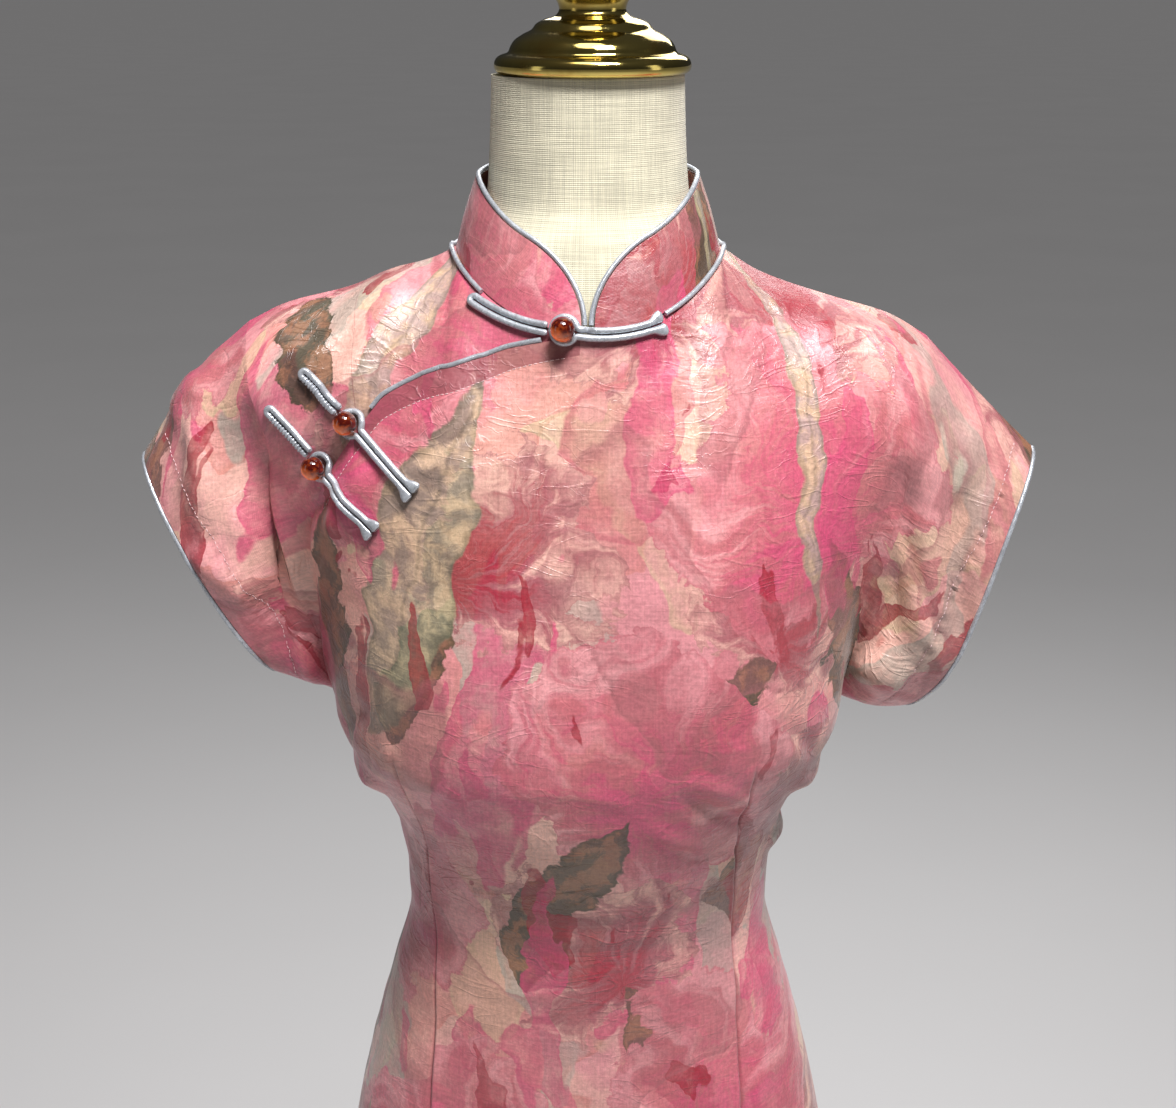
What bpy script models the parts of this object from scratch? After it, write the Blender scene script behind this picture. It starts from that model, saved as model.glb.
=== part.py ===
"""A cheongsam with cut-on cap sleeves, worn by a limbless dress form on a round stand.

Metres, +Z up. The front of the dress faces -Y and the wearer's left side is +X. The origin is the
centre of the stand's flat underside. Every piece of cloth is laid out on one surface, place(u, v):
u runs across a sheet from the wearer's right cuff (-1) to the left cuff (+1), v runs down it from
the neckline and shoulder seams (0) past the armpits (1) to the hem, one unit to each V_SPAN metres.
"""

import math

import bmesh
import bpy
import numpy as np
from mathutils import Vector
from mathutils.bvhtree import BVHTree

# Driving sizes
WAIST_Z = 1.04
HEM_BELOW_WAIST = 0.69
WALL = 0.0016
SEAM_GAP = 0.0003
LAYER = WALL + SEAM_GAP
V_SPAN = 0.25

# Where a sheet's columns change their work, as shares of the way from centre to cuff
U_NECK = 0.30
U_ARM = 0.75

# Neckline, measured from the waist and from the form's axis
NECK_HALF_WIDTH = 0.0725
NECK_FRONT = 0.076
NECK_BACK = 0.056
NECK_SIDE_UP = 0.403
NECK_FRONT_DROP = 0.035
NECK_BACK_RISE = 0.006

# Shoulder seam: share of its length, share of its fall
SHOULDER_TIP_OUT = 0.192
SHOULDER_FALL_AT = (0.0, 0.20, 0.55, 0.81, 1.0)
SHOULDER_FALL = (0.0, 0.29, 0.57, 0.75, 1.0)

ARMPIT_UP = 0.135
ARMPIT_OUT = 0.150

# Body sections below the armpits, from the waist: height, half width, front and back depth, squareness
BODY_COLUMNS = ("up", "half_width", "front", "back", "square")
BODY = (
    (0.160, 0.1500, 0.1230, 0.0950, 2.30),
    (0.135, 0.1500, 0.1230, 0.0950, 2.30),
    (0.100, 0.1325, 0.1170, 0.0920, 2.25),
    (0.080, 0.1225, 0.1110, 0.0880, 2.20),
    (0.060, 0.1155, 0.1040, 0.0835, 2.15),
    (0.025, 0.1105, 0.0925, 0.0765, 2.15),
    (0.000, 0.1098, 0.0885, 0.0750, 2.15),
    (-0.045, 0.1210, 0.0895, 0.0830, 2.20),
    (-0.105, 0.1375, 0.0955, 0.0990, 2.20),
    (-0.165, 0.1505, 0.1025, 0.1110, 2.25),
    (-0.220, 0.1580, 0.1060, 0.1130, 2.30),
    (-0.350, 0.1630, 0.1050, 0.1070, 2.30),
    (-0.520, 0.1650, 0.1030, 0.1030, 2.30),
    (-HEM_BELOW_WAIST, 0.1680, 0.1040, 0.1050, 2.30),
)

# Each sleeve: the shoulder tip's height, the over-arm seam's end, the underarm seam's end,
# how far the cuff bows out and where, and the fullness of its front and back
SLEEVE_COLUMNS = (
    "tip_up", "top_out", "top_up", "lift", "under_out", "under_up", "sag", "bow", "bow_at", "front", "back",
)
RIGHT_SLEEVE = (0.360, 0.257, 0.284, 0.006, 0.186, 0.149, 0.000, 0.000, 0.35, 0.036, 0.046)
LEFT_SLEEVE = (0.352, 0.257, 0.287, -0.001, 0.191, 0.127, 0.004, 0.010, 0.62, 0.038, 0.046)

# How far the upper sheets swell past a plain loft, along u: front and back
SWELL_AT = (0.0, 0.30, 0.50, 0.65, 0.75)
SWELL_FRONT = (0.0, 0.002, 0.012, 0.030, 0.046)
SWELL_BACK = (0.0, 0.004, 0.016, 0.034, 0.050)

# Bust: two low swellings of the cloth
BUST_OUT = 0.080
BUST_UP = 0.165
BUST_RISE = 0.009
BUST_WIDTH = 0.045
BUST_HEIGHT = 0.060

# The front flap's edge runs from the collar to below the right armpit: |u|, v
FLAP_U = (0.0, 0.05, 0.11, 0.185, 0.277, 0.358, 0.407, 0.435, 0.463, 0.508, 0.557, 0.637, 0.700, 0.750)
FLAP_V = (0.0, 0.025, 0.070, 0.135, 0.187, 0.205, 0.217, 0.227, 0.252, 0.302, 0.362, 0.475, 0.680, 1.000)
FLAP_END_INSET = 0.022
OVERLAP = 0.032

# Side slits
SLIT_TOP_BELOW_WAIST = 0.37
SLIT_OPENING = 0.018

# The largest folds: sheet, start and end seen from the front (out from the axis, up from the waist),
# sideways bow, half width, height (a trough is negative)
FOLD_COLUMNS = ("sheet", "out0", "up0", "out1", "up1", "bow", "width", "height")
FOLDS = (
    ("front", -0.085, 0.398, -0.150, 0.300, 0.006, 0.0100, 0.0050),
    ("front", -0.098, 0.392, -0.166, 0.325, 0.004, 0.0080, 0.0035),
    ("front", -0.118, 0.300, -0.150, 0.245, -0.004, 0.0080, 0.0040),
    ("front", -0.206, 0.345, -0.214, 0.240, 0.010, 0.0080, -0.0060),
    ("front", -0.186, 0.295, -0.176, 0.165, -0.004, 0.0120, -0.0100),
    ("front", -0.190, 0.200, -0.232, 0.235, 0.004, 0.0110, 0.0060),
    ("front", 0.176, 0.300, 0.170, 0.180, -0.006, 0.0100, -0.0060),
    ("front", 0.188, 0.310, 0.196, 0.160, 0.005, 0.0100, 0.0060),
    ("front", 0.208, 0.285, 0.220, 0.165, 0.004, 0.0085, -0.0050),
    ("front", 0.160, 0.165, 0.190, 0.150, 0.000, 0.0120, 0.0080),
    ("front", -0.152, 0.096, -0.112, 0.088, 0.000, 0.0085, 0.0090),
    ("front", 0.152, 0.104, 0.116, 0.096, 0.000, 0.0090, 0.0075),
    ("front", 0.136, 0.054, 0.104, 0.048, 0.000, 0.0075, 0.0060),
    ("back", -0.150, 0.300, -0.140, 0.190, 0.006, 0.0120, 0.0050),
    ("back", 0.150, 0.300, 0.140, 0.190, -0.006, 0.0120, 0.0050),
    ("back", -0.196, 0.320, -0.186, 0.190, 0.006, 0.0120, -0.0070),
    ("back", 0.196, 0.320, 0.190, 0.180, -0.006, 0.0120, -0.0070),
    ("back", -0.150, 0.096, -0.104, 0.084, 0.000, 0.0085, 0.0060),
    ("back", 0.150, 0.104, 0.104, 0.088, 0.000, 0.0090, 0.0060),
    ("front", -0.070, -0.300, -0.078, -0.720, 0.004, 0.0260, 0.0070),
    ("front", 0.000, -0.340, 0.004, -0.720, 0.000, 0.0240, -0.0050),
    ("front", 0.078, -0.290, 0.084, -0.720, -0.004, 0.0260, 0.0070),
    ("back", -0.060, -0.290, -0.068, -0.720, 0.004, 0.0280, 0.0070),
    ("back", 0.070, -0.300, 0.074, -0.720, -0.004, 0.0280, 0.0070),
)

# Stand collar
COLLAR_WALL = 0.0020
COLLAR_HEIGHT = 0.0385
COLLAR_TOP_HALF_WIDTH = 0.0612
COLLAR_TOP_FRONT = 0.0640
COLLAR_TOP_BACK = 0.0480
COLLAR_LIFT = 0.0005
COLLAR_CORNER = 0.034
COLLAR_FRONT_GAP = 0.0066

# Piping and frogs
PIPING_R = 0.0014
CORD_R = 0.0018
CORD_FLARE = 1.9
BEAD_R = 0.0066

# Each shoulder frog: u and v of its outer end, its bead and its inner end
FROGS = {
    "frog_upper": ((-0.612, 0.150), (-0.503, 0.270), (-0.358, 0.428)),
    "frog_lower": ((-0.708, 0.195), (-0.588, 0.352), (-0.450, 0.505)),
}
# The collar's frog follows the neckline: turns (see neckline) and drops below it of its ends and bead
COLLAR_FROG_TURNS = (-0.272, -0.052, 0.170)
COLLAR_FROG_DROPS = (0.0055, -0.0015, 0.0035)
BEAD_LOOP_R = 0.0070

# Dress form and stand
FORM_REST_GAP = 0.0005
FORM_LOOSE_GAP = 0.0036
FORM_ARM_GAP = 0.0105
FORM_BOTTOM_BELOW_WAIST = 0.20
# Neck of the form: height above the waist, half width, front and back depth
FORM_NECK = (
    (0.4120, 0.0650, 0.0620, 0.0490),
    (0.4320, 0.0565, 0.0535, 0.0450),
    (0.4650, 0.0540, 0.0518, 0.0445),
    (0.4970, 0.0528, 0.0512, 0.0445),
)
CAP_CENTRE = (0.0025, -0.0034)
# Turned neck cap and knob: radius, height above its underside
CAP_PROFILE = (
    (0.0505, 0.0000), (0.0534, 0.0020), (0.0540, 0.0052), (0.0524, 0.0088), (0.0492, 0.0104),
    (0.0456, 0.0112), (0.0450, 0.0142), (0.0424, 0.0180), (0.0372, 0.0212), (0.0326, 0.0232),
    (0.0310, 0.0262), (0.0262, 0.0286), (0.0200, 0.0302), (0.0178, 0.0330), (0.0188, 0.0370),
    (0.0232, 0.0440), (0.0260, 0.0540), (0.0246, 0.0640), (0.0190, 0.0720), (0.0100, 0.0768), (0.0, 0.0780),
)
POLE_R = 0.0130
PLATE_R = 0.040
PLATE_THICK = 0.006
POLE_TOP_GAP = 0.0003
# Stand: radius, height above the floor
BASE_PROFILE = (
    (0.0, 0.0), (0.1660, 0.0000), (0.1700, 0.0025), (0.1700, 0.0085), (0.1660, 0.0115), (0.1200, 0.0150),
    (0.0600, 0.0210), (0.0320, 0.0290), (0.0240, 0.0400), (0.0230, 0.0700), (0.0205, 0.0740), (0.0, 0.0740),
)

# Finishes: linear colour, roughness, metallic
PRINTED_SATIN = ((0.62, 0.24, 0.26, 1.0), 0.42, 0.0)
SILVER_SATIN = ((0.42, 0.45, 0.50, 1.0), 0.32, 0.0)
AMBER_GLASS = ((0.35, 0.03, 0.01, 1.0), 0.10, 0.0)
CREAM_LINEN = ((0.52, 0.49, 0.38, 1.0), 0.85, 0.0)
POLISHED_BRASS = ((0.62, 0.50, 0.14, 1.0), 0.16, 1.0)
STAND_METAL = ((0.62, 0.50, 0.14, 1.0), 0.22, 1.0)

# Mesh fineness
NECK_COLUMNS = 6
SHOULDER_COLUMNS = 7
SLEEVE_COLUMNS_ACROSS = 4
UPPER_ROWS = 6
LOWER_V = (1.21, 1.30, 1.40, 1.51, 1.63, 1.77, 1.95, 2.20, 2.60, 3.10, 3.65)
UNDER_FLAP_ROWS = np.array([0.0, 0.05, 0.11, 0.19, 0.29, 0.40, 0.53, 0.67, 0.83, 1.0])
FORM_LOWER_V = (1.08, 1.15, 1.225, 1.30, 1.42, 1.55, 1.75, 2.00)


# Helpers on arrays

def curve_through(x, xs, ys):
    """A smooth curve through a table's points that never overshoots them (harmonic mean slopes)."""
    xs, ys = np.asarray(xs, float), np.asarray(ys, float)
    step = np.diff(xs)
    slope = np.diff(ys) / step
    tangent = np.concatenate([[slope[0]], np.zeros(len(xs) - 2), [slope[-1]]])
    same = slope[:-1] * slope[1:] > 0
    total = np.where(same, slope[:-1] + slope[1:], 1.0)
    tangent[1:-1] = np.where(same, 2 * slope[:-1] * slope[1:] / total, 0.0)
    i = np.clip(np.searchsorted(xs, x, side="right") - 1, 0, len(step) - 1)
    t = np.clip((x - xs[i]) / step[i], 0, 1)
    value = ys[i] * (1 + 2 * t) * (1 - t) ** 2 + ys[i + 1] * t * t * (3 - 2 * t)
    return value + step[i] * t * (1 - t) * (tangent[i] * (1 - t) - tangent[i + 1] * t)


def ease(x, low, high):
    """0 below low, 1 above high, and a smooth step between them."""
    t = np.clip((x - low) / (high - low), 0, 1)
    return t * t * (3 - 2 * t)


def unit(vectors):
    return vectors / np.maximum(np.linalg.norm(vectors, axis=-1, keepdims=True), 1e-12)


def body_size(up, name):
    """A size of the body section at heights above the waist, read from BODY."""
    i = BODY_COLUMNS.index(name)
    rows = BODY[::-1]
    return curve_through(up, [row[0] for row in rows], [row[i] for row in rows])


def sleeve_size(u, name):
    i = SLEEVE_COLUMNS.index(name)
    return np.where(u < 0, RIGHT_SLEEVE[i], LEFT_SLEEVE[i])


# The surface that every piece of cloth is laid out on

def section(u, up, back):
    """A point of the body's section, a superellipse; u turns round it from the centre to the side seam."""
    angle = np.abs(u) / U_ARM * math.pi / 2
    half, square = body_size(up, "half_width"), body_size(up, "square")
    depth = body_size(up, "back" if back else "front")
    reach = ((np.abs(np.cos(angle)) / depth) ** square + (np.sin(angle) / half) ** square) ** (-1 / square)
    y = reach * np.cos(angle) * (1 if back else -1)
    return np.stack([np.sign(u) * reach * np.sin(angle), y, np.broadcast_to(up, u.shape)], axis=-1)


def top_edge(u, back):
    """The neckline, then the shoulder seam, then the over-arm seam, heights above the waist."""
    out, side = np.abs(u), np.sign(u)
    turn = np.clip(out / U_NECK, 0, 1) * math.pi / 2
    along = np.clip((out - U_NECK) / (U_ARM - U_NECK), 0, 1)
    sleeve = np.clip((out - U_ARM) / (1 - U_ARM), 0, 1.4)
    depth, rise = (NECK_BACK, NECK_BACK_RISE) if back else (-NECK_FRONT, -NECK_FRONT_DROP)
    x = NECK_HALF_WIDTH * np.sin(turn) + (SHOULDER_TIP_OUT - NECK_HALF_WIDTH) * along
    x = x + (sleeve_size(u, "top_out") - SHOULDER_TIP_OUT) * sleeve
    y = depth * np.cos(turn)
    fall = NECK_SIDE_UP - sleeve_size(u, "tip_up")
    z = NECK_SIDE_UP + rise * np.cos(turn) ** 1.5
    z = z - fall * curve_through(along, SHOULDER_FALL_AT, SHOULDER_FALL)
    z = z + (sleeve_size(u, "top_up") - sleeve_size(u, "tip_up")) * sleeve
    z = z + sleeve_size(u, "lift") * 4 * sleeve * (1 - sleeve)
    return np.stack([side * x, y, z], axis=-1)


def armpit_edge(u, back):
    """The body's section at armpit height, then the underarm seam out to the cuff."""
    body = section(np.clip(u, -U_ARM, U_ARM), np.full(u.shape, ARMPIT_UP), back)
    sleeve = np.clip((np.abs(u) - U_ARM) / (1 - U_ARM), 0, 1.4)
    out = (sleeve_size(u, "under_out") - ARMPIT_OUT) * sleeve
    rise = (sleeve_size(u, "under_up") - ARMPIT_UP) * sleeve
    rise = rise - sleeve_size(u, "sag") * 4 * sleeve * (1 - sleeve)
    return body + np.stack([np.sign(u) * out, np.zeros(u.shape), rise], axis=-1)


def softened(edge, u, back, reach):
    """An edge curve with its corners rounded away, as a weighted mean of nearby points."""
    shifts = np.linspace(-1, 1, 9)
    weights = (1 - shifts**2) ** 2 + 0.02
    total = sum(w * edge(u + reach * s, back) for s, w in zip(shifts, weights))
    return total / weights.sum()


def upper(u, v, back):
    """The sheet above the armpits: from the top edge it swells out and falls to the armpit row."""
    top, low = top_edge(u, back), armpit_edge(u, back)
    top_soft, low_soft = softened(top_edge, u, back, 0.19), softened(armpit_edge, u, back, 0.12)
    near_top = ((1 - np.clip(v / 0.35, 0, 1)) ** 2)[..., None]
    near_low = ((1 - np.clip((1 - v) / 0.35, 0, 1)) ** 2)[..., None]
    top = top_soft + (top - top_soft) * near_top
    low = low_soft + (low - low_soft) * near_low
    out = np.abs(u)
    shoulder = ease(out, 0.0, U_NECK)
    power = (2.0 if back else 1.5) + (0.2 if back else 0.7) * shoulder
    root = (0.8 if back else 1.0) - (0.2 if back else 0.4) * shoulder
    forward = (1 - (1 - v) ** power) ** root
    point = top + (low - top) * np.stack([v, forward, v], axis=-1)
    swell = curve_through(out, SWELL_AT, SWELL_BACK if back else SWELL_FRONT)
    cuff = sleeve_size(u, "back" if back else "front")
    sleeve = ease(out, U_ARM, 1.0)
    swell = swell + (cuff - swell) * sleeve
    fade = 2.0 - 1.45 * ease(out, 0.62, 0.86)
    peak = (0.55 / (0.55 + fade)) ** 0.55 * (fade / (0.55 + fade)) ** fade
    arch = v**0.55 * (1 - v) ** fade / peak
    at = sleeve_size(u, "bow_at")
    bow = sleeve_size(u, "bow") * sleeve * np.sin(math.pi * v ** (math.log(0.5) / np.log(at)))
    shift = np.stack([np.sign(u) * bow, swell * arch * (1 if back else -1), np.zeros(u.shape)], axis=-1)
    return point + shift


def bare(u, v, back):
    """The inside face of the cloth before folds, in world space. v past 1 goes straight down the body."""
    u, v = np.broadcast_arrays(np.asarray(u, float), np.asarray(v, float))
    high = upper(u, np.clip(v, 0, 1), back)
    down = ARMPIT_UP - (np.maximum(v, 1) - 1) * V_SPAN
    point = np.where((v <= 1)[..., None], high, section(np.clip(u, -U_ARM, U_ARM), down, back))
    if not back:
        far = ((np.abs(point[..., 0]) - BUST_OUT) / BUST_WIDTH) ** 2
        far = far + ((point[..., 2] - BUST_UP) / BUST_HEIGHT) ** 2
        point = point - np.stack([0 * far, BUST_RISE * np.exp(-far), 0 * far], axis=-1)
    return point + np.array([0, 0, WAIST_Z])


def facing(u, v, back):
    """Outward unit normals of the sheet."""
    step = 0.004
    u, v = np.broadcast_arrays(np.asarray(u, float), np.asarray(v, float))
    across = bare(u + step, v, back) - bare(u - step, v, back)
    low = np.maximum(v, 0.012)
    down = bare(u, low + step, back) - bare(u, low - step, back)
    normal = np.cross(across, down)
    return unit(normal if back else -normal)


def seam_facing(u, v, back):
    """Normals that front and back share along their seams, where their edges meet."""
    own, other = facing(u, v, back), facing(u, v, not back)
    u, v = np.broadcast_arrays(np.asarray(u, float), np.asarray(v, float))
    out = np.abs(u)
    shoulder = (v < 1e-6) & (out > U_NECK - 1e-6)
    underarm = (np.abs(v - 1) < 1e-6) & (out > U_ARM - 1e-6)
    side = (v > 1 - 1e-6) & (np.abs(out - U_ARM) < 1e-6)
    return np.where((shoulder | underarm | side)[..., None], unit(own + other), own)


def fold_height(point, back):
    """How far the folds lift the cloth at points: a rounded ridge along each line, fading at its ends."""
    total = np.zeros(point.shape[:-1])
    out, up = point[..., 0], point[..., 2] - WAIST_Z
    for row in FOLDS:
        fold = dict(zip(FOLD_COLUMNS, row))
        if (fold["sheet"] == "back") != back:
            continue
        run, fall = fold["out1"] - fold["out0"], fold["up1"] - fold["up0"]
        length = math.hypot(run, fall)
        along = ((out - fold["out0"]) * run + (up - fold["up0"]) * fall) / length**2
        aside = ((out - fold["out0"]) * fall - (up - fold["up0"]) * run) / length
        aside = aside - fold["bow"] * 4 * along * (1 - along)
        window = ease(along, -0.05, 0.30) * (1 - ease(along, 0.70, 1.05))
        total = total + fold["height"] * window * np.exp(-((aside / fold["width"]) ** 2))
    return total


def flap_v(u):
    """v of the front flap's edge at u, on the wearer's right."""
    return curve_through(np.abs(u), FLAP_U, FLAP_V)


def flap_start(u):
    """v at which the front panel begins: the flap's edge, drawn back a little by the armpit."""
    return flap_v(u) + FLAP_END_INSET * ease(np.abs(u), 0.62, 0.75)


def overlap_lift(u, v):
    """How far the front rides up on the flap beneath it, fading away past the overlap."""
    past = (v - np.where(u < 0, flap_v(np.minimum(u, 0)), 0)) * V_SPAN
    return LAYER * (1 - ease(past, OVERLAP + 0.003, OVERLAP + 0.04)) * (1 - ease(u, 0.03, 0.20))


def place(u, v, back, depth):
    """Points of the cloth, depth above its inside face."""
    at = bare(u, v, back)
    edge = ease(np.abs(u), 0.985, 1.0) * (np.asarray(v) <= 1)
    lift = depth + fold_height(at, back) * (1 - 0.6 * edge)
    return at + seam_facing(u, v, back) * lift[..., None]


# Making objects

def material(name, colour, roughness, metallic):
    made = bpy.data.materials.new(name)
    made.use_nodes = True
    shader = made.node_tree.nodes["Principled BSDF"]
    shader.inputs["Base Color"].default_value = colour
    shader.inputs["Roughness"].default_value = roughness
    shader.inputs["Metallic"].default_value = metallic
    return made


def mesh_object(name, points, faces, finish):
    """A smooth-shaded object from points and faces; its faces are turned to look outward."""
    mesh = bpy.data.meshes.new(name)
    mesh.from_pydata([tuple(p) for p in points], [], [tuple(int(i) for i in f) for f in faces])
    made = bmesh.new()
    made.from_mesh(mesh)
    bmesh.ops.remove_doubles(made, verts=made.verts, dist=1e-5)
    bmesh.ops.triangulate(made, faces=made.faces, quad_method="FIXED")
    bmesh.ops.recalc_face_normals(made, faces=made.faces)
    made.to_mesh(mesh)
    made.free()
    mesh.shade_smooth()
    mesh.set_sharp_from_angle(angle=math.radians(50))
    mesh.materials.append(material(f"{name}_finish", *finish))
    made = bpy.data.objects.new(name, mesh)
    bpy.context.scene.collection.objects.link(made)
    return made


def grid_triangles(rows, columns):
    corner = (np.arange(rows - 1)[:, None] * columns + np.arange(columns - 1)).ravel()
    first = np.stack([corner, corner + 1, corner + columns + 1], axis=1)
    second = np.stack([corner, corner + columns + 1, corner + columns], axis=1)
    return np.concatenate([first, second])


def welded(keys, triangles):
    """Triangles renumbered so that rows of keys that agree count once, without those that collapse."""
    _, first, index = np.unique(np.round(keys, 6), axis=0, return_index=True, return_inverse=True)
    triangles = index.reshape(-1)[triangles]
    a, b, c = triangles.T
    return first, triangles[(a != b) & (b != c) & (c != a)]


def wall_faces(triangles, count):
    """Outside triangles, inside ones numbered from count, and a rim between their free edges."""
    ends = np.concatenate([triangles[:, [0, 1]], triangles[:, [1, 2]], triangles[:, [2, 0]]])
    _, used, times = np.unique(np.sort(ends, axis=1), axis=0, return_index=True, return_counts=True)
    free = ends[used[times == 1]]
    near = np.stack([free[:, 0], free[:, 1], free[:, 1] + count], axis=1)
    far = np.stack([free[:, 0], free[:, 1] + count, free[:, 0] + count], axis=1)
    return np.concatenate([triangles, triangles[:, ::-1] + count, near, far])


def shell(name, patches, back, lift, trim):
    """A cloth wall over patches of (u, v) points, welded where their points agree."""
    us = np.concatenate([u.ravel() for u, v in patches])
    vs = np.concatenate([v.ravel() for u, v in patches])
    starts = np.cumsum([0] + [u.size for u, v in patches])
    triangles = np.concatenate([grid_triangles(*u.shape) + s for (u, v), s in zip(patches, starts)])
    first, triangles = welded(np.stack([us, vs], axis=1), triangles)
    us, vs = us[first], vs[first]
    shift = trim(us, vs)
    low = lift(us, vs)
    inside = place(us, vs, back, low) + shift
    outside = place(us, vs, back, low + WALL) + shift
    faces = wall_faces(triangles, len(us))
    return mesh_object(name, np.concatenate([outside, inside]), faces, PRINTED_SATIN)


def seam_trim(back):
    """Half the seam gap, taken off along the shoulder, underarm and side seams."""
    def trim(u, v):
        out, half = np.abs(u), SEAM_GAP * 0.6
        side = unit(bare(u * 0.98, v, back) - bare(u, v, back)) * half
        down = unit(bare(u, v + 0.03, back) - bare(u, v, back)) * half
        up = unit(bare(u, np.maximum(v - 0.03, 0), back) - bare(u, v, back)) * half
        shoulder = ((v < 1e-6) & (out > U_NECK - 1e-6))[..., None]
        underarm = ((np.abs(v - 1) < 1e-6) & (out > U_ARM - 1e-6))[..., None]
        below = ((v > 1 + 1e-6) & (out > U_ARM - 1e-6))[..., None]
        return down * shoulder + up * underarm + side * below
    return trim


def slit_share(v):
    """The share of a panel's width that is left at v: the side edges part below the slit's top."""
    down = (v - 1) * V_SPAN - ARMPIT_UP
    opening = SLIT_OPENING * 0.5 * ease(down, SLIT_TOP_BELOW_WAIST, HEM_BELOW_WAIST)
    return 1 - opening / 0.24


def body_columns():
    """u of the columns from side seam to side seam, closer together where they go round the neck."""
    neck = np.linspace(0, U_NECK, NECK_COLUMNS + 1)
    half = np.concatenate([neck, np.linspace(U_NECK, U_ARM, SHOULDER_COLUMNS + 1)[1:]])
    return np.concatenate([-half[:0:-1], half])


def overlap_rows(tops):
    """Rows over the strip where the front lies on the flap beneath it; both pieces use the same ones."""
    return tops + (np.arange(4) / 3 * OVERLAP / V_SPAN)[:, None]


def upper_rows(tops, middles):
    strip = overlap_rows(tops)
    share = (np.arange(1, UPPER_ROWS + 1) / UPPER_ROWS)[:, None]
    return np.concatenate([strip, strip[-1] + (middles - strip[-1]) * share])


def lower_rows(count):
    hem_v = 1 + (ARMPIT_UP + HEM_BELOW_WAIST) / V_SPAN
    return np.array([*LOWER_V, hem_v])[:, None] + np.zeros(count)


def body_patch(us, upper_part):
    """Rows from the top edge past the armpits to the hem, for columns at us."""
    vs = np.concatenate([upper_part, lower_rows(len(us))])
    return us[None] * slit_share(vs), vs


def sleeve_patch(side, rows):
    us = np.linspace(U_ARM, 1, SLEEVE_COLUMNS_ACROSS + 1) * side
    return us[None] + 0 * rows[:, None], rows[:, None] + 0 * us[None]


def front_panel():
    us = body_columns()
    tops = np.where(us < 0, flap_start(us), 0.0)
    middles = np.maximum(1.0, tops + OVERLAP / V_SPAN + 0.04)
    rows = upper_rows(tops, middles)
    patches = [body_patch(us, rows), sleeve_patch(1, rows[:, -1])]
    return shell("front_panel", patches, False, overlap_lift, seam_trim(False))


def back_panel():
    us = body_columns()
    rows = upper_rows(0 * us, 0 * us + 1)
    beside = overlap_rows(0 * us + flap_start(np.array([-U_ARM])))
    patches = [body_patch(us, np.concatenate([rows, beside]))]
    patches += [sleeve_patch(-1, rows[:, 0]), sleeve_patch(1, rows[:, 0])]
    return shell("back_panel", patches, True, lambda u, v: 0 * u, seam_trim(True))


def under_flap():
    """The right front beneath the flap, with the right sleeve's front; its lower edge is covered."""
    us = body_columns()
    us = us[us <= 0]
    vs = np.concatenate([flap_v(us) * UNDER_FLAP_ROWS[:, None], overlap_rows(flap_start(us))])
    patches = [(us[None] + 0 * vs, vs), sleeve_patch(-1, UNDER_FLAP_ROWS)]
    return shell("under_flap", patches, False, lambda u, v: 0 * u, seam_trim(False))


# Bars and turned shapes

def settled(path, outward, clearance, beneath):
    """A path raised outward, where it must be, until it is clear of the pieces beneath it."""
    trees = []
    for piece in beneath:
        made = bmesh.new()
        made.from_mesh(piece.data)
        trees.append(BVHTree.FromBMesh(made))
        made.free()
    rise = np.zeros(len(path))
    for _ in range(4):
        at = path + outward * rise[:, None]
        near = [min(tree.find_nearest(tuple(point))[3] for tree in trees) for point in at]
        need = np.maximum(clearance - np.array(near), 0)
        spread = np.pad(need, 1, mode="edge")
        rise = rise + np.maximum.reduce([need, spread[:-2] * 0.7, spread[2:] * 0.7])
    return path + outward * rise[:, None]


def tube(name, path, outward, wide, high, finish, sides=6, closed=False):
    """A round or oval bar along a path: wide and high are its half sizes at each point."""
    if closed:
        along = unit(np.roll(path, -1, axis=0) - np.roll(path, 1, axis=0))
    else:
        along = unit(np.gradient(path, axis=0))
    outward = unit(outward - (outward * along).sum(-1, keepdims=True) * along)
    aside = np.cross(along, outward)
    angles = (np.arange(sides) + 0.5) * 2 * math.pi / sides
    wide = np.broadcast_to(wide, len(path))[:, None, None]
    high = np.broadcast_to(high, len(path))[:, None, None]
    ring = aside[:, None] * np.cos(angles)[:, None] * wide
    ring = ring + outward[:, None] * np.sin(angles)[:, None] * high
    points = (path[:, None] + ring).reshape(-1, 3)
    steps = len(path) if closed else len(path) - 1
    i, j = np.meshgrid(np.arange(steps), np.arange(sides), indexing="ij")
    near, far = i * sides, (i + 1) % len(path) * sides
    after = (j + 1) % sides
    faces = np.stack([near + j, near + after, far + after, far + j], axis=-1).reshape(-1, 4)
    faces = [tuple(f) for f in faces]
    if not closed:
        faces.append(tuple(range(sides)))
        faces.append(tuple(range(steps * sides, steps * sides + sides)))
    return mesh_object(name, points, faces, finish)


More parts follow.
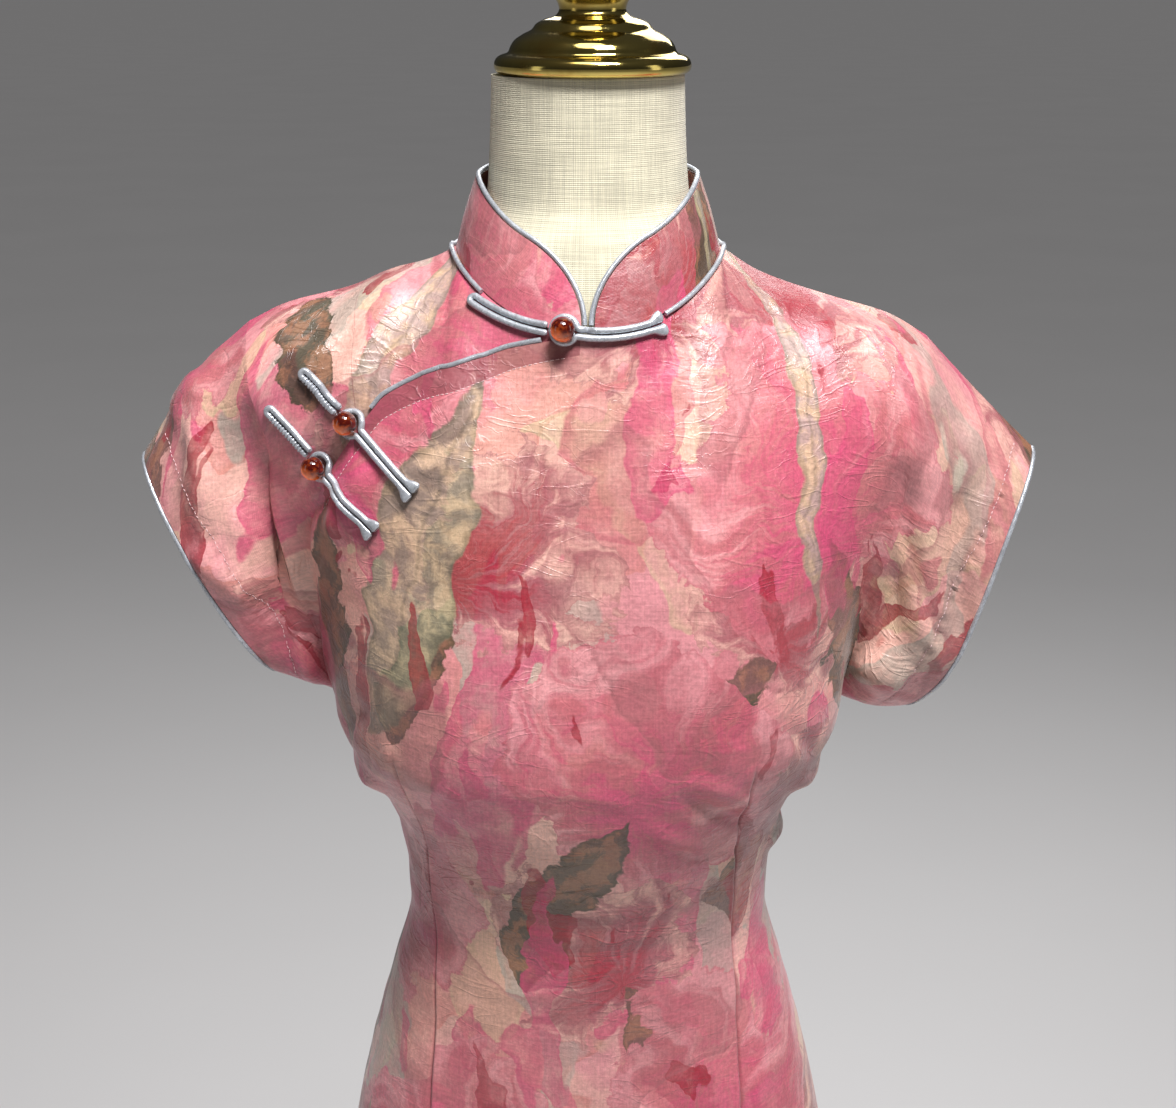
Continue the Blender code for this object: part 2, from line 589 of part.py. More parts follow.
def turned(name, profile, centre, axis, sides, finish):
    """A shape spun about an axis from (radius, height) pairs; flat ends are closed."""
    made = bmesh.new()
    outline = [made.verts.new((radius, 0, height)) for radius, height in profile]
    for a, b in zip(outline[:-1], outline[1:]):
        made.edges.new((a, b))
    around = (0, 0, 1)
    bmesh.ops.spin(
        made,
        geom=made.verts[:] + made.edges[:],
        cent=(0, 0, 0),
        axis=around,
        angle=2 * math.pi,
        steps=sides,
        use_merge=True,
    )
    bmesh.ops.remove_doubles(made, verts=made.verts, dist=1e-6)
    bmesh.ops.holes_fill(made, edges=[e for e in made.edges if e.is_boundary], sides=0)
    bmesh.ops.triangulate(made, faces=made.faces)
    bmesh.ops.recalc_face_normals(made, faces=made.faces)
    mesh = bpy.data.meshes.new(name)
    made.to_mesh(mesh)
    made.free()
    mesh.shade_smooth()
    mesh.set_sharp_from_angle(angle=math.radians(35))
    mesh.materials.append(material(f"{name}_finish", *finish))
    placed = bpy.data.objects.new(name, mesh)
    placed.location = centre
    placed.rotation_euler = Vector(axis).to_track_quat("Z", "Y").to_euler()
    bpy.context.scene.collection.objects.link(placed)
    return placed


# Collar

def cover(u, v):
    """The depth that clears the front at (u, v), one layer or two, easing down outside the flap's edge."""
    past = (v - np.where(u < 0, flap_v(np.minimum(u, 0)), 0)) * V_SPAN
    step = ease(past, -0.012, -0.001) * (1 - ease(past, OVERLAP + 0.003, OVERLAP + 0.04))
    return WALL + LAYER * step * (1 - ease(u, 0.03, 0.20))


def neckline(turn):
    """The neckline's outer edge and its normal: turn 0 is the centre front, + to the left, +-1 the back."""
    out, side = np.abs(turn), np.where(turn < 0, -1.0, 1.0)
    front_u = side * np.clip(out * 2, 0, 1) * U_NECK
    back_u = side * np.clip(2 - out * 2, 0, 1) * U_NECK
    front = (out < 0.5)[..., None]
    zero = 0 * turn
    front_point = place(front_u, zero, False, cover(front_u, zero))
    back_point = place(back_u, zero, True, zero + WALL)
    normal = np.where(front, seam_facing(front_u, zero, False), seam_facing(back_u, zero, True))
    return np.where(front, front_point, back_point), normal


def collar_outward(turn):
    angle = turn * math.pi
    return unit(np.stack([np.sin(angle), -np.cos(angle), 0.27 + 0 * angle], axis=-1))


def collar_point(turn, share):
    """A point of the collar's middle: share 0 at its foot, 1 at full height, on its way in to the neck."""
    angle = turn * math.pi
    level = np.stack([np.sin(angle), -np.cos(angle), 0 * angle], axis=-1)
    foot = neckline(turn)[0] - level * COLLAR_WALL / 2 + np.array([0, 0, COLLAR_LIFT])
    depth = np.where(np.abs(turn) < 0.5, COLLAR_TOP_FRONT, COLLAR_TOP_BACK)
    rise = COLLAR_HEIGHT + foot[..., 2]
    top = np.stack([COLLAR_TOP_HALF_WIDTH * np.sin(angle), -depth * np.cos(angle), rise], axis=-1)
    return foot + (top - foot) * share[..., None]


def collar_edge():
    """Turns of the collar's columns from one front edge round to the other, and its height share at each."""
    girth = math.pi * 0.068
    corner = np.linspace(0, math.pi / 2, 6)
    past = (COLLAR_FRONT_GAP / 2 + COLLAR_CORNER * (1 - np.cos(corner))) / girth
    share = 0.10 + 0.90 * np.sin(corner)
    rest = np.linspace(past[-1], 1, 12)[1:]
    turns, shares = np.concatenate([past, rest]), np.concatenate([share, np.ones(len(rest))])
    return np.concatenate([turns, 2 - turns[-2::-1]]), np.concatenate([shares, shares[-2::-1]])


def wrapped(turn):
    return np.where(turn > 1, turn - 2, turn)


def collar():
    """One stiff band round the neck, open and rounded at the centre front."""
    turns, shares = collar_edge()
    shares = np.linspace(0, 1, 4)[:, None] * shares
    turns = np.broadcast_to(wrapped(turns), shares.shape)
    middle = collar_point(turns, shares)
    out = collar_outward(turns) * COLLAR_WALL / 2
    outside, inside = (middle + out).reshape(-1, 3), (middle - out).reshape(-1, 3)
    faces = wall_faces(grid_triangles(*shares.shape), shares.size)
    return mesh_object("collar", np.concatenate([outside, inside]), faces, PRINTED_SATIN)


def collar_top_piping():
    """Piping round the collar's free edge, up one front, round the neck and down the other."""
    turns, shares = collar_edge()
    turns = wrapped(turns)
    edge = collar_point(turns, shares)
    out = collar_outward(turns)
    away = unit(np.cross(out, np.gradient(edge, axis=0)))
    away = away * np.where(away[len(away) // 2, 2] < 0, -1, 1)
    path = edge + away * (PIPING_R + SEAM_GAP)
    return tube("collar_top_piping", path, out, PIPING_R, PIPING_R, SILVER_SATIN)


def crease(turn, distance):
    """Points in the crease between collar and dress, distance clear of both, and the outward direction."""
    corner, normal = neckline(turn)
    out = collar_outward(turn) + normal
    half = np.linalg.norm(out, axis=-1, keepdims=True) / 2
    return corner + unit(out) * distance / half, unit(out)


def collar_base_piping(beneath):
    """Piping in the crease at the collar's foot, from one end of the collar's frog round to the other."""
    start, end = COLLAR_FROG_TURNS[2] + 0.012, 2 + COLLAR_FROG_TURNS[0] - 0.004
    turns = np.sort(np.append(np.linspace(start, end, 36), (0.5, 1.5)))
    path, out = crease(wrapped(turns), PIPING_R + SEAM_GAP)
    path = settled(path, out, PIPING_R + 0.0007, beneath)
    return tube("collar_base_piping", path, out, PIPING_R, PIPING_R, SILVER_SATIN)


# Edge pipings

def flap_piping(beneath):
    """Piping along the flap's visible edge, lying on the piece beneath."""
    us = -np.linspace(0.066, 0.458, 19)
    step = 0.002
    slope = (flap_v(us - step) - flap_v(us + step)) / (2 * step)
    beside = place(us, flap_v(us), False, 0 * us + WALL)
    along = place(us - step, flap_v(us) + slope * step, False, 0 * us + WALL) - beside
    normal = facing(us, flap_v(us), False)
    away = unit(np.cross(along, normal))
    up = place(us, flap_v(us) - 0.02, False, 0 * us + WALL) - beside
    away = away * np.sign((away * up).sum(-1, keepdims=True))
    path = beside + (away + normal) * (PIPING_R + SEAM_GAP)
    path = settled(path, unit(away + normal), PIPING_R + 0.0003, beneath)
    return tube("flap_piping", path, normal, PIPING_R, PIPING_R, SILVER_SATIN)


def cuff_piping(name, side, front_rows, beneath):
    """Piping round a cuff's open edge, front and back."""
    back_rows = upper_rows(np.zeros(1), np.ones(1))[:, 0]
    edges, aways, normals = [], [], []
    for back, v in ((False, front_rows), (True, back_rows[-2:0:-1])):
        u = np.full(len(v), float(side))
        edge = place(u, v, back, 0 * v + WALL / 2)
        edges.append(edge)
        aways.append(edge - place(u * 0.97, v, back, 0 * v + WALL / 2))
        normals.append(seam_facing(u, v, back))
    edge, away, normal = np.concatenate(edges), np.concatenate(aways), np.concatenate(normals)
    along = unit(np.roll(edge, -1, axis=0) - np.roll(edge, 1, axis=0))
    away = unit(away - (away * along).sum(-1, keepdims=True) * along)
    path = settled(edge + away * (PIPING_R + SEAM_GAP), away, PIPING_R + SEAM_GAP, beneath)
    return tube(name, path, normal, PIPING_R, PIPING_R, SILVER_SATIN, closed=True)


# Frogs

def evened(path, count):
    """A path smoothed a little and sampled evenly."""
    for _ in range(4):
        path = np.concatenate([path[:1], (path[:-2] + 2 * path[1:-1] + path[2:]) / 4, path[-1:]])
    length = np.concatenate([[0], np.cumsum(np.linalg.norm(np.diff(path, axis=0), axis=1))])
    at = np.linspace(0, length[-1], count)
    return np.stack([np.interp(at, length, path[:, i]) for i in range(3)], axis=1), at


def hairpin(name, centre, normal, loop_r, flared, count, beneath):
    """A doubled cord along a centre line: out beside it, round a loop about its last point, and back."""
    along = unit(np.gradient(centre, axis=0))
    aside = unit(np.cross(along, normal))
    length = np.concatenate([[0], np.cumsum(np.linalg.norm(np.diff(centre, axis=0), axis=1))])
    spread = 1 + (CORD_FLARE - 1) * (1 - ease(length, 0.001, 0.009)) * flared
    half = CORD_R * spread + SEAM_GAP / 2 + 0.0001
    keep = length[-1] - length > math.sqrt(max(loop_r**2 - half[-1] ** 2, 0)) + 1e-6
    meet = math.asin(min(half[-1] / loop_r, 1.0))
    turn = np.linspace(-math.pi + meet, math.pi - meet, 25)[:, None]
    loop = centre[-1] + loop_r * (np.cos(turn) * along[-1] + np.sin(turn) * aside[-1])
    strand = centre[keep] - aside[keep] * half[keep, None]
    other = centre[keep] + aside[keep] * half[keep, None]
    path, at = evened(np.concatenate([strand, loop, other[::-1]]), count)
    end = np.minimum(at, at[-1] - at)
    wide = CORD_R * (1 + (CORD_FLARE - 1) * (1 - ease(end, 0.001, 0.009)) * flared)
    nearest = np.argmin(((path[:, None] - centre[None]) ** 2).sum(-1), axis=1)
    path = settled(path, normal[nearest], CORD_R + 0.0007, beneath)
    tube(name, path, normal[nearest], wide, CORD_R, SILVER_SATIN)
    return path


def frog(name, outer, inner, beneath):
    """A frog: a doubled cord on one side, a loop on the other and a bead held above the loop."""
    (out_line, out_normal), (in_line, in_normal) = outer, inner
    far = np.linalg.norm(out_line - out_line[-1], axis=1) > BEAD_LOOP_R + CORD_R + 3 * SEAM_GAP
    line, normal = out_line[far][::-1], out_normal[far][::-1]
    hairpin(f"{name}_button_leg", line, normal, CORD_R + 0.0003, 0, 18, beneath)
    path = hairpin(f"{name}_loop_leg", in_line, in_normal, BEAD_LOOP_R, 1, 28, beneath)
    axis = in_normal[-1]
    loop = path[np.linalg.norm(path - in_line[-1], axis=1) < BEAD_LOOP_R * 1.4]
    foot = in_line[-1] + axis * ((loop.mean(axis=0) - in_line[-1]) @ axis)
    centre = 0.0068
    angles = np.linspace(-math.pi / 2 + 0.32, math.pi / 2, 8)
    profile = [(0.0020, -CORD_R * 0.6)]
    profile += [(BEAD_R * math.cos(a), centre + BEAD_R * math.sin(a)) for a in angles]
    profile[-1] = (0.0, centre + BEAD_R)
    turned(f"{name}_bead", profile, foot, axis, 10, AMBER_GLASS)


def shoulder_leg(end, bead):
    share = np.linspace(0, 1, 60)
    u, v = end[0] + (bead[0] - end[0]) * share, end[1] + (bead[1] - end[1]) * share
    depth = cover(u, v) + SEAM_GAP + CORD_R
    return place(u, v, False, depth), facing(u, v, False)


def collar_leg(end, bead):
    """The centre line of a leg of the collar's frog, in the crease at the collar's foot or a little lower."""
    share = np.linspace(0, 1, 60)
    turn, drop = end[0] + (bead[0] - end[0]) * share, end[1] + (bead[1] - end[1]) * share
    path, out = crease(turn, CORD_R + 0.0012)
    along = np.gradient(path, axis=0)
    down = unit(np.cross(out, along))
    down = down * np.where(down[:, 2:] > 0, -1, 1)
    return path + down * drop[:, None], out


# Form and stand

def form_gap(u, v):
    """How far the form lies inside the cloth: close at the shoulders, well clear beside the arms."""
    out = np.abs(u)
    rest = ease(out, 0.27, 0.33) * (1 - ease(out, 0.48, 0.62)) * (1 - ease(v, 0.13, 0.35))
    arm = ease(out, 0.45, 0.68) * ease(v, 0.02, 0.22) * (1 - ease(v, 1.05, 1.40))
    return FORM_LOOSE_GAP + (FORM_REST_GAP - FORM_LOOSE_GAP) * rest + FORM_ARM_GAP * arm


def dress_form():
    """Neck and torso in one: the inside of the dress drawn in, its armholes closed flat, a flat bottom."""
    upper_v = upper_rows(np.zeros(1), np.ones(1))[:, 0]
    bottom_v = 1 + (ARMPIT_UP + FORM_BOTTOM_BELOW_WAIST) / V_SPAN
    rows = np.concatenate([upper_v, FORM_LOWER_V, [bottom_v]])
    v = rows[:, None]
    us = body_columns()
    past_neck = np.maximum(np.abs(us) - U_NECK, 0)
    u = us[None] - np.sign(us) * past_neck * 0.11 * (1 - ease(v, 0.45, 1.0))
    v = v + 0 * u
    sheets = []
    for back in (False, True):
        at = bare(u, v, back) - seam_facing(u, v, back) * form_gap(u, v)[..., None]
        sheets.append(at)
    ring = np.concatenate([sheets[0], sheets[1][:, ::-1], sheets[0][:, :1]], axis=1)
    ring[-1, :, 2] = WAIST_Z - FORM_BOTTOM_BELOW_WAIST
    neck = np.abs(us) <= U_NECK + 1e-9
    angle = us[neck] / U_NECK * math.pi / 2
    neck_front = [sheets[0][0][neck]]
    neck_back = [sheets[1][0][neck]]
    for up, half, front, rear in FORM_NECK:
        level = WAIST_Z + up + 0 * angle
        neck_front.append(np.stack([half * np.sin(angle), -front * np.cos(angle), level], axis=-1))
        neck_back.append(np.stack([half * np.sin(angle), rear * np.cos(angle), level], axis=-1))
    collar_ring = np.concatenate([neck_front, np.array(neck_back)[:, ::-1]], axis=1)
    collar_ring = np.concatenate([collar_ring, collar_ring[:, :1]], axis=1)
    caps = [ring[-1], collar_ring[-1]]
    points = np.concatenate([ring.reshape(-1, 3), collar_ring.reshape(-1, 3)])
    rows_of_neck = grid_triangles(*collar_ring.shape[:2]) + ring.shape[0] * ring.shape[1]
    triangles = [grid_triangles(*ring.shape[:2]), rows_of_neck]
    starts = [(ring.shape[0] - 1) * ring.shape[1], len(points) - collar_ring.shape[1]]
    for start, cap in zip(starts, caps):
        corner = np.arange(len(cap) - 1) + start
        triangles.append(np.stack([corner, corner + 1, np.full(len(corner), len(points))], axis=1))
        points = np.concatenate([points, cap[:-1].mean(axis=0)[None]])
    first, triangles = welded(points, np.concatenate(triangles))
    return mesh_object("dress_form", points[first], triangles, CREAM_LINEN)


# Start from an empty scene

for leftover in list(bpy.data.objects):
    bpy.data.objects.remove(leftover)

front = front_panel()
rear = back_panel()
under = under_flap()
band = collar()
top_piping = collar_top_piping()
base_piping = collar_base_piping([front, rear, under, band])
edge_piping = flap_piping([front, under])
cuff_piping("right_cuff_piping", -1, UNDER_FLAP_ROWS, [under, rear])
cuff_piping("left_cuff_piping", 1, upper_rows(np.zeros(1), np.ones(1))[:, 0], [front, rear])
for name, (outer_end, bead, inner_end) in FROGS.items():
    frog(name, shoulder_leg(outer_end, bead), shoulder_leg(inner_end, bead), [front, under])
turns_and_drops = list(zip(COLLAR_FROG_TURNS, COLLAR_FROG_DROPS))
outer_leg = collar_leg(turns_and_drops[0], turns_and_drops[1])
inner_leg = collar_leg(turns_and_drops[2], turns_and_drops[1])
frog("frog_collar", outer_leg, inner_leg, [front, under, band, top_piping, base_piping])
dress_form()
cap_bottom = WAIST_Z + FORM_NECK[-1][0] + SEAM_GAP
turned("neck_cap", CAP_PROFILE, (*CAP_CENTRE, cap_bottom), (0, 0, 1), 22, POLISHED_BRASS)
pole_bottom = BASE_PROFILE[-1][1] + POLE_TOP_GAP
pole_top = WAIST_Z - FORM_BOTTOM_BELOW_WAIST - POLE_TOP_GAP
pole = (
    (POLE_R, pole_bottom),
    (POLE_R, pole_top - PLATE_THICK - 0.012),
    (POLE_R + 0.006, pole_top - PLATE_THICK),
    (PLATE_R, pole_top - PLATE_THICK),
    (PLATE_R, pole_top),
)
turned("pole", pole, (0, 0, 0), (0, 0, 1), 16, STAND_METAL)
turned("base", BASE_PROFILE, (0, 0, 0), (0, 0, 1), 30, STAND_METAL)
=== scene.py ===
"""A cheongsam of printed satin with cut-on cap sleeves, on a linen dress form, in a pale studio.

Metres, +Z up, the front of the dress faces -Y. Every piece of cloth is laid out on one surface,
place(u, v). u runs across a sheet from the wearer's right cuff (-1) to the left cuff (+1). v runs down
it from the neckline and shoulder seams (0) past the armpits (1) to the hem, one unit to V_SPAN metres.
"""

import math

import bpy
import numpy as np
from bpy.props import FloatProperty, FloatVectorProperty, IntProperty, PointerProperty
from bpy.types import Operator, Panel, PropertyGroup
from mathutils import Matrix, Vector
from mathutils.bvhtree import BVHTree


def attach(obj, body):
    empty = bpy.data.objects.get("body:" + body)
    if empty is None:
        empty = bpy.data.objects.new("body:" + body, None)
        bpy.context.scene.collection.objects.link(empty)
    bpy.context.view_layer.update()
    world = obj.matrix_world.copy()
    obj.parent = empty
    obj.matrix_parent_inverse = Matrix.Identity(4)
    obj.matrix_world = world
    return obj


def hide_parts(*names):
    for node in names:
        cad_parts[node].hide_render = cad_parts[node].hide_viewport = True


bl_info = {
    "name": "Cheongsam on a dress form",
    "version": (1, 0, 0),
    "blender": (4, 5, 0),
    "location": "View3D > Sidebar > Cheongsam",
    "description": "Builds a printed satin cheongsam, its trims and its dress form round the packed frame",
    "category": "Add Mesh",
}

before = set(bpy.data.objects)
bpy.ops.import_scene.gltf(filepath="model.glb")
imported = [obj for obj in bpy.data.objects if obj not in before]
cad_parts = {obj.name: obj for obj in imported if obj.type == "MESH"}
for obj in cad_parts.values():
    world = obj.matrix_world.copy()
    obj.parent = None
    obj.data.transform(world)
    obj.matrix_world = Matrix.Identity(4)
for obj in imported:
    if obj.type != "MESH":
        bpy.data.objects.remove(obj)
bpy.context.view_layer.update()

# Driving sizes of the dress
WAIST_Z = 1.04
HEM_BELOW_WAIST = 0.69
V_SPAN = 0.25
U_NECK = 0.30
U_ARM = 0.75
NECK_HALF_WIDTH = 0.0725
NECK_FRONT = 0.076
NECK_BACK = 0.056
NECK_SIDE_UP = 0.403
NECK_FRONT_DROP = 0.035
NECK_BACK_RISE = 0.006
SHOULDER_TIP_OUT = 0.192
SHOULDER_FALL_AT = (0.0, 0.20, 0.55, 0.81, 1.0)
SHOULDER_FALL = (0.0, 0.29, 0.57, 0.75, 1.0)
ARMPIT_UP = 0.135
ARMPIT_OUT = 0.150
HEM_V = 1 + (ARMPIT_UP + HEM_BELOW_WAIST) / V_SPAN

# Body sections below the armpits, from the waist: height, half width, front and back depth, squareness
BODY_COLUMNS = ("up", "half_width", "front", "back", "square")
BODY = (
    (0.160, 0.1500, 0.1230, 0.0950, 2.30),
    (0.135, 0.1500, 0.1230, 0.0950, 2.30),
    (0.100, 0.1325, 0.1170, 0.0920, 2.25),
    (0.080, 0.1225, 0.1110, 0.0880, 2.20),
    (0.060, 0.1155, 0.1040, 0.0835, 2.15),
    (0.025, 0.1105, 0.0925, 0.0765, 2.15),
    (0.000, 0.1098, 0.0885, 0.0750, 2.15),
    (-0.045, 0.1210, 0.0895, 0.0830, 2.20),
    (-0.105, 0.1375, 0.0955, 0.0990, 2.20),
    (-0.165, 0.1505, 0.1025, 0.1110, 2.25),
    (-0.220, 0.1580, 0.1060, 0.1130, 2.30),
    (-0.350, 0.1630, 0.1050, 0.1070, 2.30),
    (-0.520, 0.1650, 0.1030, 0.1030, 2.30),
    (-HEM_BELOW_WAIST, 0.1680, 0.1040, 0.1050, 2.30),
)

# Each sleeve: the shoulder tip's height, the over-arm seam's end, the underarm seam's end,
# how far the cuff bows out and where, and the fullness of its front and back
SLEEVE_COLUMNS = (
    "tip_up", "top_out", "top_up", "lift", "under_out", "under_up", "sag", "bow", "bow_at", "front", "back",
)
RIGHT_SLEEVE = (0.360, 0.257, 0.284, 0.006, 0.186, 0.149, 0.000, 0.000, 0.35, 0.036, 0.046)
LEFT_SLEEVE = (0.352, 0.257, 0.287, -0.001, 0.191, 0.127, 0.004, 0.008, 0.78, 0.038, 0.046)

# How far the upper sheets swell past a plain loft, along u: front and back
SWELL_AT = (0.0, 0.30, 0.50, 0.65, 0.75)
SWELL_FRONT = (0.0, 0.002, 0.012, 0.030, 0.046)
SWELL_BACK = (0.0, 0.004, 0.016, 0.034, 0.050)

# Bust: two low swellings of the cloth
BUST_OUT = 0.080
BUST_UP = 0.165
BUST_RISE = 0.009
BUST_WIDTH = 0.045
BUST_HEIGHT = 0.060

# The front flap's edge runs from the collar to below the right armpit: |u|, v
FLAP_U = (0.0, 0.05, 0.11, 0.185, 0.277, 0.358, 0.407, 0.435, 0.463, 0.508, 0.557, 0.637, 0.700, 0.750)
FLAP_V = (0.0, 0.025, 0.070, 0.135, 0.187, 0.205, 0.217, 0.227, 0.252, 0.302, 0.362, 0.475, 0.680, 1.000)
FLAP_END_INSET = 0.022
OVERLAP = 0.032
SLIT_TOP_BELOW_WAIST = 0.37
SLIT_OPENING = 0.018

# Folds, in millimetres: start and end seen from the front (out from the axis, up from the waist),
# sideways bow, half width, height (a trough is negative)
FOLD_COLUMNS = ("out0", "up0", "out1", "up1", "bow", "width", "height")
FRONT_FOLDS = (
    (-85, 398, -150, 300, 6, 9.0, 6.8),
    (-100, 390, -168, 325, 4, 7.0, 5.5),
    (-118, 300, -150, 245, -4, 8.0, 4.0),
    (-206, 350, -216, 235, 10, 8.0, 5.0),
    (-188, 318, -176, 160, -4, 15.0, -27.0),
    (-214, 330, -236, 300, 6, 8.0, 4.5),
    (-190, 200, -232, 235, 4, 11.0, 6.0),
    (178, 300, 172, 170, -6, 11.0, -11.0),
    (188, 310, 196, 160, 5, 10.0, 6.0),
    (210, 290, 222, 165, 4, 8.5, -7.0),
    (160, 165, 190, 150, 0, 12.0, 8.0),
    (-152, 106, -114, 98, 0, 8.0, 8.0),
    (152, 104, 116, 96, 0, 9.0, 7.5),
    (136, 54, 104, 48, 0, 7.5, 6.0),
    (-70, -300, -78, -720, 4, 26.0, 7.0),
    (0, -340, 4, -720, 0, 24.0, -5.0),
    (78, -290, 84, -720, -4, 26.0, 7.0),
)
BACK_FOLDS = (
    (-150, 300, -140, 190, 6, 12.0, 5.0),
    (150, 300, 140, 190, -6, 12.0, 5.0),
    (-196, 320, -186, 190, 6, 12.0, -7.0),
    (196, 320, 190, 180, -6, 12.0, -7.0),
    (-150, 106, -106, 94, 0, 8.5, 6.0),
    (150, 104, 104, 88, 0, 9.0, 6.0),
    (-60, -290, -68, -720, 4, 28.0, 7.0),
    (70, -300, 74, -720, -4, 28.0, 7.0),
)
# Smaller creases, in the same columns and millimetres
FRONT_CREASES = (
    (-78, 400, -134, 330, 3, 4.2, -3.4),
    (-104, 384, -162, 350, -3, 5.0, -3.4),
    (-90, 372, -120, 322, 2, 4.0, 1.4),
    (-182, 330, -203, 262, 4, 5.0, -3.6),
    (-140, 300, -172, 268, 4, 3.4, -2.2),
    (-134, 282, -168, 240, 3, 3.6, -2.4),
    (-148, 262, -170, 214, -3, 3.4, 2.0),
    (-130, 318, -112, 336, -2, 4.0, -2.0),
    (-92, 310, -52, 322, 3, 3.2, -1.6),
    (-104, 296, -64, 304, 3, 3.4, 1.4),
    (-226, 312, -214, 248, -4, 4.8, 2.2),
    (-203, 262, -194, 222, -2, 4.5, 2.0),
    (-163, 304, -167, 188, 4, 5.6, 3.4),
    (-146, 285, -154, 225, -3, 5.0, -1.8),
    (-128, 286, -140, 252, 3, 3.6, 1.4),
    (46, 124, 97, 78, -4, 5.8, -2.8),
    (58, 130, 102, 94, -4, 5.0, 1.8),
    (30, 104, 78, 74, 4, 5.2, 1.6),
    (40, 84, 92, 66, 2, 4.4, -2.0),
    (-40, 122, 30, 112, -6, 4.0, 1.0),
    (-96, 108, -60, 88, 4, 4.6, -1.6),
    (-104, 126, -64, 112, -4, 4.4, 1.4),
    (-78, 64, -10, 60, 3, 3.2, 0.8),
    (-86, 46, 20, 44, -4, 3.0, -0.9),
    (-24, 36, 80, 40, 4, 3.0, 0.8),
    (-70, 20, 50, 16, 3, 3.2, 0.8),
    (-20, 0, 82, 4, -3, 3.4, -0.8),
    (-84, -22, 4, -26, 3, 3.6, 0.7),
    (110, 150, 132, 118, -3, 5.0, -2.8),
    (126, 190, 146, 156, 3, 6.0, -2.2),
    (-122, 160, -142, 122, 3, 5.2, -2.8),
    (-108, 146, -126, 108, -3, 4.6, 2.2),
    (232, 290, 212, 232, 3, 5.0, -2.2),
    (220, 310, 204, 262, -3, 5.5, 1.8),
    (184, 250, 206, 176, 3, 4.6, -2.6),
    (170, 262, 182, 196, -2, 4.4, 1.8),
    (196, 196, 214, 150, 2, 4.6, 2.0),
    (100, 386, 82, 322, 4, 11.0, -2.2),
    (120, 372, 150, 330, -3, 9.0, 1.8),
    (86, 394, 112, 366, 2, 5.0, 1.4),
    (-95, -60, -100, -180, 4, 12.0, 2.0),
    (98, -70, 106, -190, -4, 12.0, 2.0),
    (-120, -140, -40, -170, 6, 10.0, 1.4),
    (122, -150, 46, -176, -6, 10.0, 1.4),
    (-36, -330, -40, -700, 4, 11.0, -2.6),
    (112, -300, 118, -700, 3, 10.0, -2.4),
    (-116, -320, -120, -700, 3, 10.0, -2.2),
)
BACK_CREASES = (
    (-90, 392, -150, 320, 5, 7.0, 2.4),
    (94, 390, 156, 316, -5, 7.0, 2.4),
    (-120, 250, -60, 170, 6, 10.0, 1.8),
    (126, 240, 70, 164, -6, 10.0, 1.8),
    (-172, 260, -160, 180, 3, 6.0, 2.6),
    (170, 270, 162, 176, -3, 6.0, 2.6),
    (-226, 300, -206, 200, 4, 6.0, 2.0),
    (226, 296, 210, 196, -4, 6.0, -2.0),
    (-90, 58, 0, 50, 4, 3.6, 1.2),
    (0, 36, 90, 44, 4, 3.6, 1.2),
    (-80, 16, 30, 10, -4, 3.8, -1.0),
    (-20, -12, 86, -6, -4, 4.0, 1.0),
    (-100, 80, -50, 74, 3, 4.6, -1.4),
    (50, 70, 104, 82, 3, 4.6, -1.4),
    (-40, -300, -44, -700, 4, 12.0, -2.6),
    (36, -320, 40, -700, 4, 12.0, -2.4),
    (112, -300, 116, -700, 3, 10.0, -2.0),
)

# Fisheye darts: |u| of each at heights v, and how wide a wedge of cloth each takes at the waist
DART_V = (0.98, 1.10, 1.20, 1.45, 1.60, 1.76, 1.96, 2.30)
FRONT_RIGHT_DART = (0.405, 0.412, 0.422, 0.500, 0.487, 0.458, 0.436, 0.405)
FRONT_LEFT_DART = (0.345, 0.352, 0.372, 0.452, 0.462, 0.446, 0.426, 0.395)
BACK_DART = (0.360, 0.368, 0.384, 0.440, 0.446, 0.430, 0.410, 0.380)
DART_TAKE = 0.020
DART_METRES = 0.27
DART_CREASE = 0.0011
DART_BESIDE = (-0.01125, -0.0075, -0.0040, -0.00175, 0.0, 0.00175, 0.0040, 0.0075)

# Stitching: |u| round each cuff at heights v, |u| beside the slits, and the flap's distance from its edge
CUFF_V = (0.0, 0.18, 0.78, 1.0)
RIGHT_CUFF_STITCH = (0.950, 0.943, 0.892, 0.880)
LEFT_CUFF_STITCH = (0.957, 0.954, 0.905, 0.890)
SLIT_STITCH_U = 0.715
FLAP_STITCH_DOWN = 0.0112
THREAD_R = 0.00021
STITCH_PITCH = 1.42
STITCH_SHARE = (0.0, 0.18, 0.5, 0.82, 1.0)
STITCH_RISE = (-0.00022, 0.00012, 0.00016, 0.00012, -0.00022)

# Stand collar
COLLAR_WALL = 0.0020
COLLAR_HEIGHT = 0.0385
COLLAR_TOP_HALF_WIDTH = 0.0612
COLLAR_TOP_FRONT = 0.0640
COLLAR_TOP_BACK = 0.0480
COLLAR_LIFT = 0.0005
COLLAR_CORNER = 0.034
COLLAR_FRONT_GAP = 0.0066
COLLAR_GIRTH_R = 0.068
COLLAR_BULGE = 0.0007
COLLAR_WAVE = 0.00025
COLLAR_CORNER_COLUMNS = 26
COLLAR_SIDE_COLUMNS = 84
COLLAR_ROWS = 16

